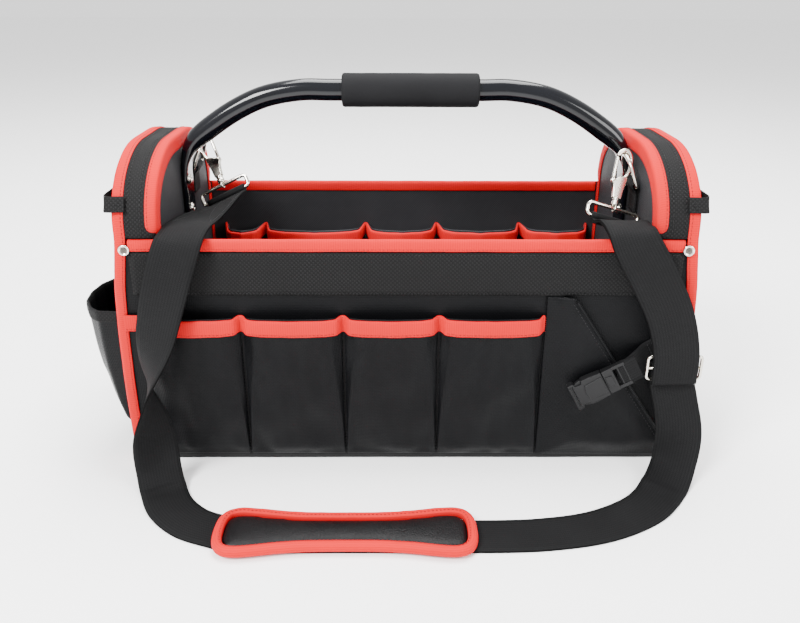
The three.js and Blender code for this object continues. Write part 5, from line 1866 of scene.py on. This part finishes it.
            reach, edge = high - low, 0.42
            lines = [[spot(i, a) for i in range(low, high + 1)] for a in (-edge, edge)]
            lines += [[spot(i, a / 10) for a in range(-4, 5)] for i in (low, high)]
            lines += [[spot(low + k, way * mix(-edge, edge, k / reach)) for k in range(reach + 1)]
                      for way in (-1, 1)]
            for line in lines:
                shell.stitches(line, frames[low][2] * face, gap=0.0027)
        settle(shell.build(name, MATERIALS.black_thread), "black_webbing")

    def slider(self) -> None:
        """Makes the plated wire slider with its middle bar."""
        x0, y0, z0 = self.slider_place
        shell = Shell()
        shell.tube([mm(x0 + x, y0, z0 + z) for x, z in round_box(21.0, 8.0, 3.0, 6)], 1.5 * MM, closed=True)
        shell.tube([mm(x0 + x, y0, z0) for x in (-24, -12, 0, 12, 24)], 1.3 * MM)
        settle(shell.build("slider_wire", MATERIALS.nickel), "nickel", "strap_slider")

    def outline(self, inset: float) -> Pairs:
        """The pad's outline.

        Args:
            inset: How far inside it to stay, in millimetres.

        Returns:
            Pairs of place across and ahead, all the way round.
        """
        quarter = []
        for i in range(49):
            along = math.sin(math.pi / 2 * i / 48)
            wide = mix(self.pad_waist, self.pad_width, table(self.pad_shape, along))
            near = max(0.0, (along - self.pad_end) / (1.0 - self.pad_end))
            wide *= max(1.0 - near ** self.pad_round, 0.0) ** (1.0 / self.pad_round)
            quarter.append((along * self.pad_length / 2, wide / 2))
        ring = quarter + [(x, -y) for x, y in reversed(quarter[:-1])]
        ring += [(-x, -y) for x, y in quarter[1:]] + [(-x, y) for x, y in reversed(quarter[1:-1])]
        found = []
        for i, (x, y) in enumerate(ring):
            (ax, ay), (bx, by) = ring[i - 3], ring[(i + 3) % len(ring)]
            length = math.hypot(bx - ax, by - ay) or 1.0
            found.append((x + (by - ay) / length * inset, y - (bx - ax) / length * inset))
        for _ in range(3):
            found = [tuple((found[i - 1][k] + 2 * p[k] + found[(i + 1) % len(found)][k]) / 4 for k in (0, 1))
                     for i, p in enumerate(found)]
        return found

    def pad(self) -> None:
        """Makes the pad: a bound red rim, rolled over the edge, round a crowned cushion."""
        section = ((0.3, 5.8), (1.0, 8.2), (2.8, 9.6), (5.4, 10.1), (7.9, 9.6), (8.9, 8.6), (8.9, 4.6),
                   (8.2, 2.4), (4.2, 2.0), (1.4, 2.5), (0.4, 3.8))
        rings = []
        for corner in zip(*[self.outline(inset) for inset, _ in section]):
            ring = []
            for (x, y), (_, high) in zip(corner, section):
                puff = 0.3 * ripple(mm(x, y, 0), 0.009, 15.0) if high > 5 else 0.0
                ring.append(mm(self.pad_x + x, self.pad_y + y, high + puff))
            rings.append(ring)
        rim = Shell()
        rim.skin(rings, closed=True)
        piece = settle(rim.build("pad_rim_tape", MATERIALS.red_tape, levels=1), "red_binding", "pad_rim")
        seam = Shell()
        line = [mm(self.pad_x + x, self.pad_y + y, 10.25) for x, y in self.outline(6.9)]
        seam.stitches(line + line[:1], Vector((0, 0, 1)))
        settle(seam.build("pad_rim_stitching", MATERIALS.red_thread), "red_binding")

    def cushion(self) -> None:
        """Makes the pad's cushion and lets air pressure crown it inside its rim."""
        rows: Rows = []
        section = ((9.4, 2.2), (8.6, 4.0), (8.4, 6.4), (9.0, 7.6), (10.6, 8.0), (12.4, 8.2), (14.5, 8.3))
        for inset, high in section:
            rows.append([mm(self.pad_x + x, self.pad_y + y, high) for x, y in self.outline(inset)])
        shell = Shell()
        shell.skin([ring[::-1] for ring in rows])
        piece = shell.build("pad_cushion_face", MATERIALS.pad_face)
        swell(piece, hold=lambda p: p.z < 0.0068, cap=0.0026, voxel=0.0032)
        settle(piece, "pad_fabric", "pad_cushion")

    def make(self) -> None:
        """Builds the strap and its pad."""
        self.long_run()
        self.upper_run()
        self.slider()
        self.pad()
        self.cushion()


def swell(piece: Piece, hold: Callable[[Vector], bool], cap: float, voxel: float) -> None:
    """Puffs a closed piece up as cloth under air pressure, and keeps the result in its mesh.

    Args:
        piece: The piece, which stays where it is.
        hold: Whether a place is sewn down.
        cap: The farthest that any point may move, in metres.
        voxel: Size of the cloth's mesh, in metres.
    """
    remesh = piece.modifiers.new("remesh", "REMESH")
    remesh.mode = "VOXEL"
    remesh.voxel_size = voxel
    remesh.use_smooth_shade = True
    bake(piece)
    sewn = piece.vertex_groups.new(name="sewn")
    sewn.add([v.index for v in piece.data.vertices if hold(v.co)], 1.0, "REPLACE")
    start = [v.co.copy() for v in piece.data.vertices]
    cloth = piece.modifiers.new("cloth", "CLOTH")
    cloth.settings.use_pressure = True
    cloth.settings.uniform_pressure_force = 2.0
    cloth.settings.vertex_group_mass = "sewn"
    cloth.settings.effector_weights.gravity = 0.0
    scene = bpy.context.scene
    for frame in range(1, 19):
        scene.frame_set(frame)
    bake(piece)
    scene.frame_set(1)
    for vertex, before in zip(piece.data.vertices, start):
        move = vertex.co - before
        if move.length > cap:
            vertex.co = before + move.normalized() * cap
    even = piece.modifiers.new("even", "SMOOTH")
    even.iterations = 10
    finer = piece.modifiers.new("finer", "SUBSURF")
    finer.levels = finer.render_levels = 1


def bake(piece: Piece) -> None:
    """Applies a piece's modifiers to its mesh."""
    graph = bpy.context.evaluated_depsgraph_get()
    changed = piece.evaluated_get(graph)
    mesh = bpy.data.meshes.new_from_object(changed, preserve_all_data_layers=True, depsgraph=graph)
    piece.modifiers.clear()
    piece.data = mesh
    for face in mesh.polygons:
        face.use_smooth = True


# Buckle


@dataclass
class Buckle:
    """The side-release buckle lying aslant on the slanted pocket."""

    turn: float = 29.0
    back: float = -115.9
    half: float = 27.0
    wide: float = 13.5
    socket_height: float = 9.0
    plug_height: float = 8.0

    def frame(self) -> Matrix:
        """The buckle's own frame: along, across, and out of the pocket."""
        place = Matrix.Translation(mm(175.0, 0.0, 88.0))
        aslant = Matrix.Rotation(math.radians(-self.turn), 4, "Y")
        return place @ aslant @ Matrix.Rotation(math.radians(90), 4, "X")

    def at(self, along: float, out: float, across: float) -> Vector:
        """A place given along, by its depth, and across the buckle."""
        return self.frame() @ mm(along, across, -out)

    def _block(self, shell: Shell, outline: Section, low: float, high: float) -> None:
        """Adds an outline made solid between two heights above the buckle's back."""
        shell.prism(outline, low - self.back, high - self.back, self.frame())

    def socket(self) -> None:
        """Makes the socket: a waisted shell with a raised middle, a toothed end and open sides."""
        w, high = self.wide, self.socket_height
        edge = [(-27.0, -w), (-24.0, -w), (-21.6, -w * 0.99), (-20.6, -w * 0.74), (-15.4, -w * 0.72),
                (-14.0, -w * 0.98), (-8.0, -w), (4.6, -w * 0.93)]
        body = edge + [(x, -y) for x, y in reversed(edge)]
        shell = Shell()
        self._block(shell, body, 0.4, high - 1.2)
        raised = [(-13.0, -w * 0.55), (3.6, -w * 0.66), (3.6, w * 0.66), (-13.0, w * 0.55), (-15.0, 0.0)]
        self._block(shell, raised, high - 2.0, high - 0.3)
        for x in (-25.6, -23.4):
            rib = [(x - 0.6, -w * 0.86), (x + 0.6, -w * 0.86), (x + 0.6, w * 0.86), (x - 0.6, w * 0.86)]
            self._block(shell, rib, high - 2.0, high - 0.5)
        for way in (-1, 1):
            arm = [(-21.0, way * w * 0.70), (-15.2, way * w * 0.68), (-13.0, way * w * 0.9), (-15.0, way * w),
                   (-19.0, way * w * 0.94), (-21.4, way * w * 0.82)]
            self._block(shell, arm[::way], 2.2, high - 3.0)
        piece = shell.build("buckle_socket_shell", MATERIALS.plastic, bevel=0.0006)
        settle(piece, "black_plastic", "buckle_socket")

    def plug(self) -> None:
        """Makes the plug: two side rails and the bars that the webbing is laced through."""
        w, high = self.wide * 0.9, self.plug_height
        shell = Shell()
        self._block(shell, ((5.2, -w), (15.0, -w), (15.0, w), (5.2, w)), 1.0, high - 0.8)
        for way in (-1, 1):
            rail = [(14.5, way * w * 0.74), (27.0, way * w * 0.74), (27.0, way * w), (14.5, way * w)]
            self._block(shell, rail[::way], 1.4, high - 1.4)
        for x in (19.8, 25.8):
            shell.tube([self.at(x, self.back - 4.6, a) for a in (-w * 0.9, 0, w * 0.9)], 1.3 * MM, sides=12)
        grip = [(6.4, -w * 0.5), (12.6, -w * 0.42), (12.6, w * 0.42), (6.4, w * 0.5)]
        self._block(shell, grip, high - 1.4, high)
        piece = shell.build("buckle_plug_frame", MATERIALS.plastic, bevel=0.0005)
        settle(piece, "black_plastic", "buckle_plug")

    def webbing(self) -> None:
        """Makes the narrow webbing through the plug, its folded tail and its stitched end."""
        near, far = self.back - 3.15, -107.35
        start = self.half + 0.3
        rows = [(start - 9.5, near + 0.8), (start, near), (start + 3, near), (start + 14, (near + far) / 2),
                (start + 24, far), (start + 46, far)]
        across = (self.frame().to_3x3() @ Vector((0, 1, 0))).normalized()
        run = Ribbon([(self.at(u, y, 0), across) for u, y in rows], 0.0245, 0.0014, 60)
        shell = Shell()
        run.add(shell, columns=7)
        tail = [(start - 8.0, near - 1.9), (start, near - 1.9), (start + 6, near - 1.5),
                (start + 10.5, near - 0.9)]
        Ribbon([(self.at(u, y, 0), across) for u, y in tail], 0.0235, 0.0014, 20).add(shell, columns=7)
        settle(shell.build("buckle_webbing", MATERIALS.strapping), "black_webbing", "buckle_strap")
        seam = Shell()
        for u in (start + 26, start + 30):
            seam.stitches([self.at(u, far - 0.9, a) for a in range(-11, 12)], AHEAD, gap=0.0026)
        settle(seam.build("buckle_webbing_stitching", MATERIALS.black_thread), "black_webbing")

    def make(self) -> None:
        """Builds the buckle."""
        self.socket()
        self.plug()
        self.webbing()


# Studio


@dataclass
class Studio:
    """Pale floor, soft light and the camera."""

    focal: float = 793.8
    picture: tuple[int, int] = (800, 623)
    eye: tuple[float, float, float] = (-11.7, -752.6, 429.2)
    pitch: float = 0.403
    yaw: float = 0.009
    roll: float = 0.004

    def camera(self) -> None:
        """Places the camera at the photograph's angle."""
        lens = bpy.data.cameras.new("camera")
        lens.sensor_width = 36.0
        lens.lens = 36.0 * self.focal / self.picture[0]
        lens.clip_start = 0.02
        look = Vector((math.sin(self.yaw) * math.cos(self.pitch), math.cos(self.yaw) * math.cos(self.pitch),
                       -math.sin(self.pitch)))
        level = Vector((math.cos(self.yaw), -math.sin(self.yaw), 0))
        rise = level.cross(look)
        right = level * math.cos(self.roll) + rise * math.sin(self.roll)
        top = rise * math.cos(self.roll) - level * math.sin(self.roll)
        camera = bpy.data.objects.new("camera", lens)
        axes = Matrix((right, top, -look)).transposed()
        camera.matrix_world = Matrix.Translation(mm(*self.eye)) @ axes.to_4x4()
        bpy.context.scene.collection.objects.link(camera)
        bpy.context.scene.camera = camera

    def floor(self) -> None:
        """Lays the floor."""
        material = bpy.data.materials.new("studio floor")
        material.use_nodes = True
        shader = material.node_tree.nodes["Principled BSDF"]
        shader.inputs["Base Color"].default_value = (0.96, 0.96, 0.96, 1.0)
        shader.inputs["Roughness"].default_value = 0.9
        shader.inputs["Specular IOR Level"].default_value = 0.1
        mesh = bpy.data.meshes.new("floor")
        far, level = 8.0, -0.0004
        corners = [(-far, -far, level), (far, -far, level), (far, far, level), (-far, far, level)]
        mesh.from_pydata(corners, [], [(0, 1, 2, 3)])
        mesh.materials.append(material)
        floor = bpy.data.objects.new("floor", mesh)
        bpy.context.scene.collection.objects.link(floor)

    def light(self, name: str, place: Vector, size: float, power: float) -> None:
        """Hangs one soft box aimed at the bag.

        Args:
            name: Its name.
            place: Where it hangs, in metres.
            size: Width of its face.
            power: Its power in watts.
        """
        lamp = bpy.data.lights.new(name, "AREA")
        lamp.shape = "SQUARE"
        lamp.size = size
        lamp.energy = power
        box = bpy.data.objects.new(name, lamp)
        box.location = place
        box.rotation_euler = (Vector((0, 0, 0.12)) - place).to_track_quat("-Z", "Y").to_euler()
        bpy.context.scene.collection.objects.link(box)

    def make(self) -> None:
        """Sets up the studio."""
        self.camera()
        self.floor()
        world = bpy.data.worlds.new("studio")
        world.use_nodes = True
        world.node_tree.nodes["Background"].inputs[0].default_value = (1.0, 1.0, 1.0, 1.0)
        world.node_tree.nodes["Background"].inputs[1].default_value = 1.5
        bpy.context.scene.world = world
        self.light("key box", Vector((-1.1, -1.3, 1.7)), 0.8, 125.0)
        self.light("fill box", Vector((1.6, -1.1, 1.0)), 0.9, 34.0)
        self.light("top box", Vector((0.1, 0.5, 1.9)), 1.3, 100.0)


@dataclass
class Materials:
    """Every finish, built once."""

    nylon: Material = field(default_factory=NYLON.make)
    lining: Material = field(default_factory=LINING.make)
    strapping: Material = field(default_factory=STRAPPING.make)
    banding: Material = field(default_factory=BANDING.make)
    red_tape: Material = field(default_factory=RED_TAPE.make)
    red_thread: Material = field(default_factory=RED_THREAD.make)
    black_thread: Material = field(default_factory=BLACK_THREAD.make)
    pad_face: Material = field(default_factory=PAD_FACE.make)
    foam: Material = field(default_factory=FOAM_GRIP.make)
    plastic: Material = field(default_factory=NYLON_MOULDING.make)
    nickel: Material = field(default_factory=NICKEL_PLATE.make)
    rivet_core: Material = field(default_factory=RIVET_CORE.make)
    handle_paint: Material = field(default_factory=HANDLE_PAINT.make)


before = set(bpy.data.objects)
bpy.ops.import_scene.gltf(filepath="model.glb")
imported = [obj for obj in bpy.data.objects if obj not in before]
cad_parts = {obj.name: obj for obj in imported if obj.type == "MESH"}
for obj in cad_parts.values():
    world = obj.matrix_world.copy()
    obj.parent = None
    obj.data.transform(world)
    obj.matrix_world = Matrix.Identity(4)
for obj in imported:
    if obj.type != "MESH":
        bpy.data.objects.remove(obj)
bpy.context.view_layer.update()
MATERIALS = Materials()


def main() -> None:
    """Builds the studio and the tote."""
    logging.basicConfig(level=logging.INFO, format="%(message)s")
    Studio().make()
    for part in (Body(), Ends(), Pockets(), Handle(), Hardware(), ShoulderStrap(), Buckle()):
        part.make()


if __name__ == "__main__":
    main()
